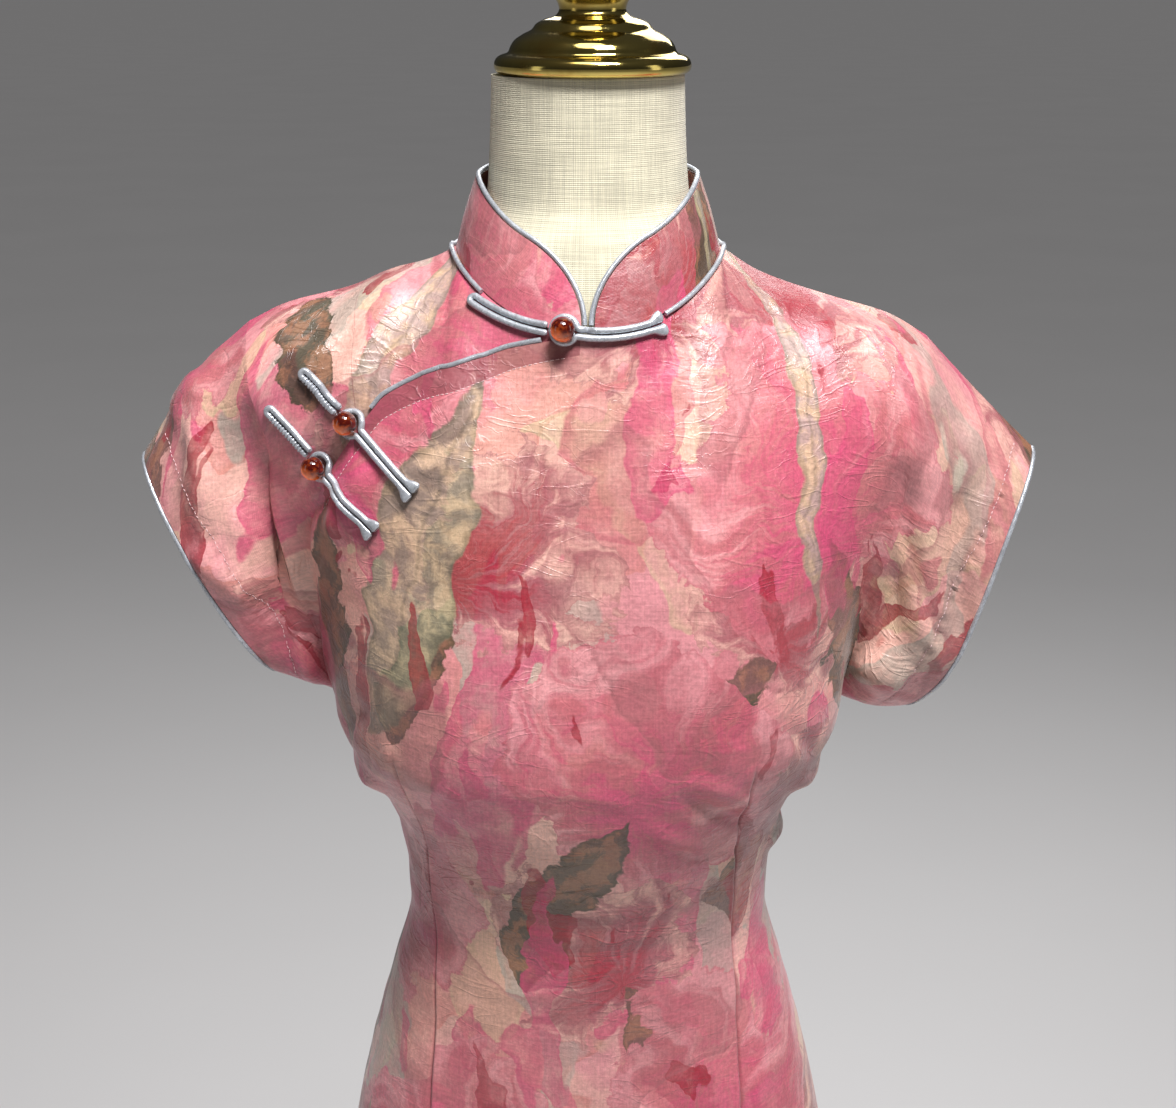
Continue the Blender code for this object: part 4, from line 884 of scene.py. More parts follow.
def along_darts(us, v, back):
    """Columns bent sideways below the armpits so that two of them run along the darts."""
    top = dart_u(us, np.full(us.shape, DART_V[0]), back)
    now = dart_u(us + 0 * v, v + 0 * us, back)
    out = np.abs(us)
    inner = out * now / top
    outer = now + (out - top) * (U_ARM - now) / (U_ARM - top)
    return np.sign(us) * np.where(out <= top, inner, outer)


def overlap_rows(tops):
    """Rows over the strip where the front lies on the flap beneath it; both pieces use the same ones."""
    return tops + (np.linspace(0, 1, STRIP_ROWS) * OVERLAP / V_SPAN)[:, None]


def upper_rows(tops, middles):
    strip = overlap_rows(tops)
    share = (np.arange(1, CHEST_ROWS + 1) / CHEST_ROWS)[:, None]
    return np.concatenate([strip, strip[-1] + (middles - strip[-1]) * share])


def lower_rows(starts):
    """Rows from each column's start down to the hem, evenly spaced from just below the armpits."""
    share = (np.arange(1, UNDERARM_ROWS + 1) / UNDERARM_ROWS)[:, None]
    waist = np.arange(UNDERARM_END + WAIST_STEP, SKIRT_START, WAIST_STEP)
    skirt = np.linspace(waist[-1], HEM_V, int((HEM_V - waist[-1]) / SKIRT_STEP) + 2)[1:]
    plain = np.concatenate([waist, skirt])[:, None] + 0 * starts
    return np.concatenate([starts + (UNDERARM_END - starts) * share, plain])


def body_patch(us, upper_part, back):
    """Rows from the top edge past the armpits to the hem, for columns at us."""
    vs = np.concatenate([upper_part, lower_rows(upper_part[-1])])
    return along_darts(us[None], vs, back) * slit_share(vs), vs


def sleeve_patch(side, rows):
    us = np.linspace(U_ARM, 1, SLEEVE_COLUMNS_ACROSS + 1) * side
    return us[None] + 0 * rows[:, None], rows[:, None] + 0 * us[None]


def flush(u, v):
    return 0 * u


def front_columns():
    return body_columns((-FRONT_RIGHT_DART[0], FRONT_LEFT_DART[0]))


def front_cloth(finish):
    """The front with its curved flap and the left sleeve's front, cut in one."""
    us = front_columns()
    tops = np.where(us < 0, flap_start(us), 0.0)
    middles = np.maximum(1.0, tops + OVERLAP / V_SPAN + 0.04)
    rows = upper_rows(tops, middles)
    patches = [body_patch(us, rows, False), sleeve_patch(1, rows[:, -1])]
    return shell("front_cloth", patches, False, overlap_lift, seam_trim(False), FRONT_PRINT, finish)


def back_cloth(finish):
    """The back with both sleeves' backs, cut in one."""
    us = body_columns((-BACK_DART[0], BACK_DART[0]))
    rows = upper_rows(0 * us, 0 * us + 1)
    patches = [body_patch(us, rows, True), sleeve_patch(-1, rows[:, 0]), sleeve_patch(1, rows[:, 0])]
    return shell("back_cloth", patches, True, flush, seam_trim(True), BACK_PRINT, finish)


def flap_cloth(finish):
    """The right front beneath the flap, with the right sleeve's front."""
    us = front_columns()
    us = us[us <= 0]
    rows = np.linspace(0, 1, 76)
    vs = np.concatenate([flap_v(us) * rows[:, None], overlap_rows(flap_start(us))])
    patches = [(us[None] + 0 * vs, vs), sleeve_patch(-1, rows)]
    return shell("flap_cloth", patches, False, flush, seam_trim(False), FLAP_PRINT, finish)


# Bars and turned shapes

def tree_of(piece):
    """A search tree over a piece's faces."""
    mesh = piece.data
    points = np.empty(len(mesh.vertices) * 3, np.float32)
    mesh.vertices.foreach_get("co", points)
    corners = np.empty(len(mesh.loops), np.int32)
    mesh.loops.foreach_get("vertex_index", corners)
    faces = corners.reshape(len(mesh.polygons), -1)
    return BVHTree.FromPolygons(points.reshape(-1, 3).tolist(), faces.tolist())


def nearest(point, trees):
    """The nearest spot of the pieces to a point, its normal and its distance."""
    hits = [tree.find_nearest(Vector(point)) for tree in trees]
    spot, normal, _, far = min(hits, key=lambda hit: hit[3])
    return np.array(spot), np.array(normal), far


def laid(path, outward, clearance, trees, lowest=-1.0):
    """A path moved along its outward directions until it lies the clearance above the pieces beneath it."""
    rise = np.zeros(len(path))
    for _ in range(5):
        at = path + outward * rise[:, None]
        found = [nearest(point, trees) for point in at]
        gaps = np.array([
            math.copysign(far, (p - spot) @ way) for p, way, (spot, _, far) in zip(at, outward, found)
        ])
        need = np.pad(clearance - gaps, 1, mode="edge")
        rise = rise + 0.9 * np.maximum.reduce([need[:-2], need[1:-1], need[2:]])
    rise = np.maximum(rise, lowest)
    window = np.hanning(15)[1:-1]
    smooth = np.convolve(np.pad(rise, 6, mode="edge"), window / window.sum(), mode="valid")
    return path + outward * smooth[:, None]


def tube(name, path, outward, wide, high, finish, sides=14, closed=False):
    """A bar along a path: at each point an oval ring with half sizes wide and high, turned by outward."""
    if closed:
        along = unit(np.roll(path, -1, axis=0) - np.roll(path, 1, axis=0))
    else:
        along = unit(np.gradient(path, axis=0))
    outward = unit(outward - (outward * along).sum(-1, keepdims=True) * along)
    aside = np.cross(along, outward)
    angles = (np.arange(sides) + 0.5) * 2 * math.pi / sides
    wide = np.broadcast_to(wide, len(path))[:, None, None]
    high = np.broadcast_to(high, len(path))[:, None, None]
    ring = aside[:, None] * np.cos(angles)[:, None] * wide
    ring = ring + outward[:, None] * np.sin(angles)[:, None] * high
    points = (path[:, None] + ring).reshape(-1, 3)
    faces = [ring_triangles(len(path), sides, closed)]
    length = lengths_along(path)
    turn = np.arange(sides) / sides * 2 * math.pi * 0.0016
    flat = np.stack(np.broadcast_arrays(length[:, None], turn[None]), axis=-1).reshape(-1, 2)
    if not closed:
        for start, centre, flip in ((0, path[0], 1), ((len(path) - 1) * sides, path[-1], -1)):
            ends = np.arange(sides) + start
            cap = np.stack([ends, np.full(sides, len(points)), np.roll(ends, -1)], axis=1)
            faces.append(cap[:, ::flip])
            points = np.concatenate([points, centre[None]])
            flat = np.concatenate([flat, flat[start][None]])
    faces = np.concatenate(faces)
    centre_of = np.concatenate([np.repeat(path, sides, axis=0), path[:0] if closed else path[[0, -1]]])
    faces = outward_first(points, faces, points - centre_of)
    return mesh_piece(name, points, faces, finish, flat, sharp=60.0)


def rounded(profile, spacing, soften=2):
    """A profile of (radius, height) pairs sampled closely, its corners rounded a little."""
    profile = np.array(profile)
    length = lengths_along(profile)
    count = int(length[-1] / spacing)
    at = np.linspace(0, length[-1], count)
    path = read_path(at, length, profile)
    for _ in range(soften):
        path[1:-1] = between(path)
    return path


def turned(name, profile, centre, axis, finish, sharp=40.0):
    """A shape spun about an axis from (radius, height) pairs that start and end on it."""
    sides = sizes().turned_sides
    axis = unit(np.asarray(axis, float))
    first = unit(np.cross(axis, (0.0, 1.0, 0.0) if abs(axis[1]) < 0.9 else (1.0, 0.0, 0.0)))
    second = np.cross(axis, first)
    angles = np.arange(sides) * 2 * math.pi / sides
    ways = first * np.cos(angles)[:, None] + second * np.sin(angles)[:, None]
    radius, height = profile[1:-1, 0], profile[1:-1, 1]
    rings = ways[None] * radius[:, None, None] + axis * height[:, None, None]
    poles = axis * profile[[0, -1], 1][:, None]
    points = np.concatenate([rings.reshape(-1, 3), poles]) + np.asarray(centre)
    j = np.arange(sides)
    low = np.stack([np.roll(j, -1), j, np.full(sides, len(radius) * sides)], axis=-1)
    top = j + (len(radius) - 1) * sides
    high = np.stack([top, np.roll(top, -1), np.full(sides, len(radius) * sides + 1)], axis=-1)
    faces = np.concatenate([ring_triangles(len(radius), sides), low, high])
    away = points - points.mean(axis=0)
    # low_side: how far each point faces down and towards -X; only the beads read it, for their painted glow
    values = {"low_side": -unit(away) @ LOW_SIDE}
    return mesh_piece(name, points, outward_first(points, faces, away), finish, values=values, sharp=sharp)


# Collar

def cover(u, v):
    """The depth that clears the front at (u, v), one layer or two, easing down outside the flap's edge."""
    past = past_flap(u, v)
    step = ease(past, -0.012, -0.001) * (1 - ease(past, OVERLAP + 0.003, OVERLAP + 0.04))
    return sizes().wall + layer() * step * (1 - ease(u, 0.03, 0.20))


def neckline(turn):
    """The neckline's outer edge and its normal: turn 0 is the centre front, + to the left, +-1 the back."""
    out, side = np.abs(turn), np.where(turn < 0, -1.0, 1.0)
    front_u = side * np.clip(out * 2, 0, 1) * U_NECK
    back_u = side * np.clip(2 - out * 2, 0, 1) * U_NECK
    front = (out < 0.5)[..., None]
    zero = 0 * turn
    front_point = place(front_u, zero, False, cover(front_u, zero))
    back_point = place(back_u, zero, True, zero + sizes().wall)
    normal = np.where(front, seam_facing(front_u, zero, False), seam_facing(back_u, zero, True))
    return np.where(front, front_point, back_point), normal


def collar_outward(turn):
    angle = turn * math.pi
    return unit(np.stack([np.sin(angle), -np.cos(angle), 0.27 + 0 * angle], axis=-1))


def collar_point(turn, share):
    """A point of the collar's middle: share 0 at its foot, 1 at full height, on its way in to the neck."""
    angle = turn * math.pi
    level = np.stack([np.sin(angle), -np.cos(angle), 0 * angle], axis=-1)
    foot = neckline(turn)[0] - level * COLLAR_WALL / 2 + np.array([0, 0, COLLAR_LIFT])
    depth = np.where(np.abs(turn) < 0.5, COLLAR_TOP_FRONT, COLLAR_TOP_BACK)
    rise = COLLAR_HEIGHT + foot[..., 2]
    top = np.stack([COLLAR_TOP_HALF_WIDTH * np.sin(angle), -depth * np.cos(angle), rise], axis=-1)
    return foot + (top - foot) * share[..., None]


def collar_edge():
    """Turns of the collar's columns from one front edge round to the other, and its height share at each."""
    girth = math.pi * COLLAR_GIRTH_R
    corner = np.linspace(0, math.pi / 2, COLLAR_CORNER_COLUMNS)
    past = (COLLAR_FRONT_GAP / 2 + COLLAR_CORNER * (1 - np.cos(corner))) / girth
    share = 0.10 + 0.90 * np.sin(corner)
    rest = np.linspace(past[-1], 1, COLLAR_SIDE_COLUMNS)[1:]
    turns, shares = np.concatenate([past, rest]), np.concatenate([share, np.ones(len(rest))])
    return np.concatenate([turns, 2 - turns[-2::-1]]), np.concatenate([shares, shares[-2::-1]])


def wrapped(turn):
    return np.where(turn > 1, turn - 2, turn)


def collar_band(finish):
    """One stiff band round the neck, open and rounded at the centre front."""
    turns, edge_shares = collar_edge()
    shares = np.linspace(0, 1, COLLAR_ROWS)[:, None] * edge_shares
    grid = np.broadcast_to(wrapped(turns), shares.shape)
    middle = collar_point(grid, shares)
    bulge = (COLLAR_BULGE + COLLAR_WAVE * ripple(middle * 1.4)) * np.sin(math.pi * shares)
    out = collar_outward(grid)
    outside = middle + out * (COLLAR_WALL / 2 + bulge)[..., None]
    inside = middle - out * (COLLAR_WALL / 2 - bulge)[..., None]
    along, up = np.broadcast_arrays(lengths_along(middle[0])[None], -shares * COLLAR_HEIGHT)
    flat = np.stack([along, up], axis=-1).reshape(-1, 2) + np.array(COLLAR_PRINT)
    outside, inside = outside.reshape(-1, 3), inside.reshape(-1, 3)
    triangles = outward_first(outside, grid_triangles(*shares.shape), outside - inside)
    values = {"crumple": np.full(len(outside) * 2, 0.12), "edge": np.full(len(outside) * 2, 0.1)}
    points, flat = np.concatenate([outside, inside]), np.concatenate([flat, flat + COLLAR_INSIDE_PRINT])
    return mesh_piece("collar_band", points, wall_faces(triangles, len(outside)), finish, flat, values)


def collar_top_trim(finish):
    """Piping round the collar's free edge, up one front, round the neck and down the other."""
    turns, shares = collar_edge()
    turns = wrapped(turns)
    edge = collar_point(turns, shares)
    out = collar_outward(turns)
    away = unit(np.cross(out, np.gradient(edge, axis=0)))
    away = away * np.where(away[len(away) // 2, 2] < 0, -1, 1)
    radius = sizes().piping
    path = edge + away * (radius + sizes().seam_gap)
    return tube("collar_top_trim", path, out, radius, radius, finish)


def crease(turn, distance):
    """Points in the crease between collar and dress, distance clear of both, and the outward direction."""
    corner, normal = neckline(turn)
    out = collar_outward(turn) + normal
    half = np.linalg.norm(out, axis=-1, keepdims=True) / 2
    return corner + unit(out) * distance / half, unit(out)


def collar_foot_trim(trees, finish):
    """Piping in the crease at the collar's foot, from one end of the collar's frog round to the other."""
    radius = sizes().piping
    start, end = COLLAR_FROG_TURNS[2] + 0.012, 2 + COLLAR_FROG_TURNS[0] - 0.004
    turns = np.linspace(start, end, 260)
    path, out = crease(wrapped(turns), radius + sizes().seam_gap)
    path = laid(path, out, radius + 0.0002, trees)
    return tube("collar_foot_trim", path, out, radius, radius, finish)


# Edge pipings

def flap_trim(trees, finish):
    """Piping along the flap's visible edge, lying on the piece beneath."""
    radius = sizes().piping
    us = -np.linspace(0.066, 0.458, 150)
    step = 0.002
    slope = (flap_v(us - step) - flap_v(us + step)) / (2 * step)
    wall = 0 * us + sizes().wall
    beside = place(us, flap_v(us), False, wall)
    along = place(us - step, flap_v(us) + slope * step, False, wall) - beside
    normal = facing(us, flap_v(us), False)
    away = unit(np.cross(along, normal))
    up = place(us, flap_v(us) - 0.02, False, wall) - beside
    away = away * np.sign((away * up).sum(-1, keepdims=True))
    path = beside + (away + normal) * (radius + sizes().seam_gap)
    path = laid(path, unit(away + normal), radius + 0.0001, trees)
    return tube("flap_trim", path, normal, radius, radius, finish)


def cuff_trim(name, side, finish):
    """Piping round a cuff's open edge, front and back."""
    radius = sizes().piping
    rows = np.linspace(0, 1, 121)
    edges, aways, normals = [], [], []
    for back, v in ((False, rows), (True, rows[-2:0:-1])):
        u = np.full(len(v), float(side))
        middle = 0 * v + sizes().wall / 2
        edge = place(u, v, back, middle)
        edges.append(edge)
        aways.append(edge - place(u * 0.97, v, back, middle))
        normals.append(seam_facing(u, v, back))
    edge, away, normal = np.concatenate(edges), np.concatenate(aways), np.concatenate(normals)
    along = unit(np.roll(edge, -1, axis=0) - np.roll(edge, 1, axis=0))
    away = unit(away - (away * along).sum(-1, keepdims=True) * along)
    path = edge + away * (radius + sizes().seam_gap)
    return tube(name, path, normal, radius, radius, finish, closed=True)


# Frogs

def evened(path, count):
    """A path smoothed a little and sampled evenly."""
    for _ in range(4):
        path = np.concatenate([path[:1], between(path), path[-1:]])
    length = lengths_along(path)
    at = np.linspace(0, length[-1], count)
    return read_path(at, length, path), at


def hairpin(name, centre, normal, loop_r, flared, ruched, lowest, trees, finish):
    """A doubled cord along a centre line: out beside it, round a loop about its last point, and back.

    A ruched cord's first strand is gathered: its radius rises and falls along it.
    """
    cord, gap = sizes().cord, sizes().seam_gap
    along = unit(np.gradient(centre, axis=0))
    aside = unit(np.cross(along, normal))
    length = lengths_along(centre)
    spread = 1 + (CORD_FLARE - 1) * (1 - ease(length, *FLARE_ALONG)) * flared
    half = cord * spread + gap / 2 + 0.0001
    keep = length[-1] - length > math.sqrt(max(loop_r**2 - half[-1] ** 2, 0)) + 1e-6
    meet = math.asin(min(half[-1] / loop_r, 1.0))
    turn = np.linspace(-math.pi + meet, math.pi - meet, 60)[:, None]
    loop = centre[-1] + loop_r * (np.cos(turn) * along[-1] + np.sin(turn) * aside[-1])
    strand = centre[keep] - aside[keep] * half[keep, None]
    other = centre[keep] + aside[keep] * half[keep, None]
    path, at = evened(np.concatenate([strand, loop, other[::-1]]), CORD_POINTS)
    end = np.minimum(at, at[-1] - at)
    wide = cord * (1 + (CORD_FLARE - 1) * (1 - ease(end, *FLARE_ALONG)) * flared)
    high = np.full(len(path), cord)
    tip = 1 - 0.35 * (1 - ease(end, 0.0, 0.0012))
    if ruched:
        gathered = ease(at, 0.002, 0.005) * (1 - ease(at, at[-1] * 0.40, at[-1] * 0.46))
        waves = RUCHE_DEPTH * gathered * (np.abs(np.sin(at * math.pi / RUCHE_STEP)) - 0.5)
        wide = wide * (1 + waves)
        high = high * (1 + waves)
    closest = np.argmin(((path[:, None] - centre[None]) ** 2).sum(-1), axis=1)
    path = laid(path, normal[closest], cord + 0.0002, trees, lowest)
    for _ in range(6):
        path[1:-1] = between(path)
    return tube(name, path, normal[closest], wide * tip, high * tip, finish, sides=16), path


def frog(name, outer, inner, trees, satin, glass):
    """A frog: a doubled cord on one side, a loop on the other and a bead held above the loop."""
    (out_line, out_normal), (in_line, in_normal) = outer, inner
    cord, gap, bead = sizes().cord, sizes().seam_gap, sizes().bead
    far = np.linalg.norm(out_line - out_line[-1], axis=1) > BEAD_LOOP_R + cord + 3 * gap
    line, normal = out_line[far][::-1], out_normal[far][::-1]
    taut = name != "collar"
    lowest = -0.0012 if taut else -1.0
    button, _ = hairpin(
        f"{name}_frog_button_cord", line, normal, cord + 0.0003, 0, taut, lowest, trees, satin,
    )
    loop_piece, path = hairpin(
        f"{name}_frog_loop_cord", in_line, in_normal, BEAD_LOOP_R, 1, False, lowest, trees, satin,
    )
    axis = in_normal[-1]
    loop = path[np.linalg.norm(path - in_line[-1], axis=1) < BEAD_LOOP_R * 1.4]
    foot = in_line[-1] + axis * ((loop.mean(axis=0) - in_line[-1]) @ axis)
    angles = np.linspace(-math.pi / 2 + 0.32, math.pi / 2, 40)
    profile = [(0.0, -cord * 0.6), (0.0020, -cord * 0.6)]
    profile += [(bead * math.cos(a), BEAD_CENTRE + bead * math.sin(a)) for a in angles]
    profile[-1] = (0.0, BEAD_CENTRE + bead)
    stone = turned(f"{name}_frog_bead", np.array(profile), foot, axis, glass, sharp=80.0)
    settle_piece(button, "silver_satin", f"frog_{name}_button_leg")
    settle_piece(loop_piece, "silver_satin", f"frog_{name}_loop_leg")
    settle_piece(stone, "amber_bead", f"frog_{name}_bead")


def shoulder_leg(end, bead):
    """The centre line of a leg, straight from end to bead, and the mean normal of the cloth beneath it."""
    u, v = np.array([end[0], bead[0]]), np.array([end[1], bead[1]])
    ends = place(u, v, False, cover(u, v) + sizes().seam_gap + sizes().cord)
    share = np.linspace(0, 1, 90)[:, None]
    normal = unit(facing(u, v, False).sum(axis=0))
    return ends[0] + (ends[1] - ends[0]) * share, np.tile(normal, (90, 1))


def collar_leg(end, bead):
    """The centre line of a leg of the collar's frog, in the crease at the collar's foot or a little lower."""
    share = np.linspace(0, 1, 90)
    turn, drop = end[0] + (bead[0] - end[0]) * share, end[1] + (bead[1] - end[1]) * share
    path, out = crease(turn, sizes().cord + 0.0012)
    along = np.gradient(path, axis=0)
    down = unit(np.cross(out, along))
    down = down * np.where(down[:, 2:] > 0, -1, 1)
    return path + down * drop[:, None], out


# Topstitching

def stitch_run(u, v, back, lift, trees):
    """Points close together along a line of the cloth, dropped on to it, and the cloth's normals there."""
    path = place(u, v, back, lift + sizes().wall)
    length = lengths_along(path)
    at = np.arange(0, length[-1], 0.0007)
    path = read_path(at, length, path)
    found = [nearest(point, trees) for point in path]
    normal = facing(np.interp(at, length, u), np.interp(at, length, v), back)
    return np.array([spot for spot, _, _ in found]), normal


def stitches(name, runs, finish):
    """Dashes of thread: each is a small bar that rises out of the cloth, runs along it and dips back in."""
    long, sides = sizes().stitch, 6
    rise, share = np.array(STITCH_RISE), np.array(STITCH_SHARE)
    points, faces, total = [], [], 0
    for path, normal in runs:
        length = lengths_along(path)
        starts = np.arange(0.001, length[-1] - long, long * STITCH_PITCH)
        at = starts[:, None] + share * long
        spot = read_path(at, length, path)
        up = unit(read_path(at, length, normal))
        along = unit(np.gradient(spot, axis=1))
        aside = np.cross(along, up)
        angles = np.arange(sides) * 2 * math.pi / sides
        ring = aside[:, :, None] * np.cos(angles)[:, None] + up[:, :, None] * np.sin(angles)[:, None]
        solid = (spot + up * rise[:, None])[:, :, None] + ring * THREAD_R
        i, j = np.meshgrid(np.arange(len(share) - 1), np.arange(sides), indexing="ij")
        near, far, after = i * sides, (i + 1) * sides, (j + 1) % sides
        quad = np.stack([near + j, near + after, far + after, far + j], axis=-1).reshape(-1, 4)
        last = (len(share) - 1) * sides
        first_end = np.array([[3, 2, 1, 0], [5, 4, 3, 0]])
        last_end = np.array([[0, 1, 2, 3], [0, 3, 4, 5]]) + last
        one = np.concatenate([quad, first_end, last_end])
        count = solid.shape[1] * sides
        first = total + np.arange(len(starts)) * count
        faces.append((one[None] + first[:, None, None]).reshape(-1, 4))
        points.append(solid.reshape(-1, 3))
        total += len(starts) * count
    return mesh_piece(name, np.concatenate(points), np.concatenate(faces), finish, sharp=80.0)


# Form and stand

def form_gap(u, v):
    """How far the form lies inside the cloth: close at the shoulders, well clear beside the arms."""
    out = np.abs(u)
    arm = ease(out, 0.45, 0.68) * ease(v, 0.02, 0.22) * (1 - ease(v, 1.05, 1.40))
    return FORM_LOOSE_GAP + (FORM_REST_GAP - FORM_LOOSE_GAP) * rest_zone(u, v) + FORM_ARM_GAP * arm


def form_body(finish):
    """Neck and torso in one: the inside of the dress drawn in, its armholes closed flat, a flat bottom."""
    bottom_v = 1 + (ARMPIT_UP + FORM_BOTTOM_BELOW_WAIST) / V_SPAN
    v = np.concatenate([np.linspace(0, 1, 50), np.linspace(1, bottom_v, 60)[1:]])[:, None]
    half = np.linspace(0, U_ARM, 61)
    us = np.concatenate([-half[:0:-1], half])
    past_neck = np.maximum(np.abs(us) - U_NECK, 0)
    u = us[None] - np.sign(us) * past_neck * 0.11 * (1 - ease(v, 0.45, 1.0))
    v = v + 0 * u
    sheets = []
    for back in (False, True):
        sheets.append(bare(u, v, back) - seam_facing(u, v, back) * (form_gap(u, v) + 0.0004)[..., None])
    ring = np.concatenate([sheets[0], sheets[1][:, ::-1], sheets[0][:, :1]], axis=1)
    ring[-1, :, 2] = WAIST_Z - FORM_BOTTOM_BELOW_WAIST
    neck = np.abs(us) <= U_NECK + 1e-9
    angle = us[neck] / U_NECK * math.pi / 2
    heights = np.array([row[0] for row in FORM_NECK])
    curved, straight = np.linspace(heights[0], heights[1], 8), np.linspace(heights[1], heights[-1], 20)
    level = np.concatenate([curved, straight[1:]])
    fronts, rears = [sheets[0][0][neck]], [sheets[1][0][neck]]
    for up in level:
        half, front, rear = (curve_through(up, heights, [row[i] for row in FORM_NECK]) for i in (1, 2, 3))
        height = WAIST_Z + up + 0 * angle
        fronts.append(np.stack([half * np.sin(angle), -front * np.cos(angle), height], axis=-1))
        rears.append(np.stack([half * np.sin(angle), rear * np.cos(angle), height], axis=-1))
    neck_ring = np.concatenate([fronts, np.array(rears)[:, ::-1]], axis=1)
    neck_ring = np.concatenate([neck_ring, neck_ring[:, :1]], axis=1)
    points = np.concatenate([ring.reshape(-1, 3), neck_ring.reshape(-1, 3)])
    body_count = ring.shape[0] * ring.shape[1]
    triangles = [grid_triangles(*ring.shape[:2]), grid_triangles(*neck_ring.shape[:2])[:, ::-1] + body_count]
    starts = [(ring.shape[0] - 1) * ring.shape[1], len(points) - neck_ring.shape[1]]
    for start, cap in zip(starts, (ring[-1], neck_ring[-1])):
        corner = np.arange(len(cap) - 1) + start
        fan = np.stack([corner + 1, corner, np.full(len(corner), len(points))], axis=1)
        triangles.append(fan[:, ::-1])
        points = np.concatenate([points, cap[:-1].mean(axis=0)[None]])
    first, triangles = welded(points, np.concatenate(triangles))
    return mesh_piece("form_body", points[first], triangles, finish, sharp=45.0)


def stand_pole(finish):
    """A round pole that widens into a flat plate beneath the form."""
    bottom = BASE_PROFILE[-1][1] + STAND_GAP
    top = WAIST_Z - FORM_BOTTOM_BELOW_WAIST - STAND_GAP
    plate = top - PLATE_THICK
    profile = (
        (0.0, bottom), (POLE_R, bottom), (POLE_R, plate - POLE_TAPER), (POLE_R + POLE_SHOULDER, plate),
        (PLATE_R, plate), (PLATE_R, top), (0.0, top),
    )
    return turned("stand_pole", np.array(profile), (0, 0, 0), (0, 0, 1), finish, sharp=35.0)


# Shader nodes

class Web:
    """Adds shader nodes to one tree and joins them."""

    def __init__(self, tree):
        self.tree = tree

    def put(self, socket, value):
        if isinstance(value, bpy.types.NodeSocket):
            self.tree.links.new(value, socket)
        else:
            socket.default_value = value

    def add(self, kind, inputs=None, **settings):
        node = self.tree.nodes.new(kind)
        for key, value in settings.items():
            setattr(node, key, value)
        for key, value in (inputs or {}).items():
            self.put(node.inputs[key], value)
        return node

    def math(self, operation, a, b=0.0, c=0.0):
        return self.add("ShaderNodeMath", {0: a, 1: b, 2: c}, operation=operation).outputs[0]

    def vector(self, operation, a, b=(0.0, 0.0, 0.0)):
        return self.add("ShaderNodeVectorMath", {0: a, 1: b}, operation=operation).outputs[0]

    def times(self, a, b):
        return self.math("MULTIPLY", a, b)

    def plus(self, a, b):
        return self.math("ADD", a, b)

    def less(self, a, b):
        return self.math("SUBTRACT", a, b)

    def times_plus(self, a, b, c):
        return self.math("MULTIPLY_ADD", a, b, c)

    def absolute(self, a):
        return self.math("ABSOLUTE", a)

    def sine(self, a):
        return self.math("SINE", a)

    def clamped(self, a):
        return self.add("ShaderNodeClamp", {0: a}).outputs[0]

    def moved(self, a, b):
        return self.vector("ADD", a, b)

    def offset(self, a, b):
        return self.vector("SUBTRACT", a, b)

    def stretched(self, a, b):
        return self.vector("MULTIPLY", a, b)

    def spun(self, a, angle):
        wanted = {"Vector": a, "Angle": angle}
        return self.add("ShaderNodeVectorRotate", wanted, rotation_type="Z_AXIS").outputs[0]

    def object_at(self):
        return self.add("ShaderNodeTexCoord").outputs["Object"]

    def cloth_at(self):
        return self.add("ShaderNodeUVMap", uv_map="cloth").outputs[0]

    def attribute(self, name):
        return self.add("ShaderNodeAttribute", attribute_name=name).outputs["Fac"]

    def cells(self, vector, randomness):
        """Three random numbers for each cell of the plane, and the place within the cell."""
        wanted = {"Vector": vector, "Scale": 1.0, "Randomness": randomness}
        cell = self.add("ShaderNodeTexVoronoi", wanted, voronoi_dimensions="2D").outputs
        return self.split(cell["Color"]), self.offset(vector, cell["Position"])

    def shaded(self, base, tone):
        """A colour made darker or lighter by a number."""
        return self.mix(1.0, base, self.join(tone, tone, tone), "MULTIPLY")

    def length(self, a):
        return self.add("ShaderNodeVectorMath", {0: a}, operation="LENGTH").outputs["Value"]

    def scaled(self, a, factor):
        return self.add("ShaderNodeVectorMath", {0: a, "Scale": factor}, operation="SCALE").outputs[0]

    def join(self, x, y, z=0.0):
        return self.add("ShaderNodeCombineXYZ", {0: x, 1: y, 2: z}).outputs[0]

    def split(self, a):
        return self.add("ShaderNodeSeparateXYZ", {0: a}).outputs

    def noise(self, vector, scale, detail=2.0, roughness=0.5, distortion=0.0, flat=True):
        wanted = {"Vector": vector, "Scale": scale, "Detail": detail}
        wanted.update({"Roughness": roughness, "Distortion": distortion})
        node = self.add("ShaderNodeTexNoise", wanted, noise_dimensions="2D" if flat else "3D")
        return node.outputs[0]

    def step(self, value, low, high, start=0.0, end=1.0):
        """A smooth step from start to end as value goes from low to high."""
        wanted = {"Value": value, "From Min": low, "From Max": high, "To Min": start, "To Max": end}
        return self.add("ShaderNodeMapRange", wanted, interpolation_type="SMOOTHSTEP").outputs["Result"]

    def mix(self, factor, a, b, blend="MIX"):
        wanted = {0: factor, 6: a, 7: b}
        return self.add("ShaderNodeMix", wanted, data_type="RGBA", blend_type=blend).outputs[2]

    def bump(self, height, strength, distance, normal=None):
        wanted = {"Strength": strength, "Distance": distance, "Height": height}
        if normal is not None:
            wanted["Normal"] = normal
        return self.add("ShaderNodeBump", wanted).outputs[0]

    def place_group(self, name, inputs):
        node = self.add("ShaderNodeGroup", node_tree=bpy.data.node_groups[name])
        for key, value in inputs.items():
            self.put(node.inputs[key], value)
        return node.outputs


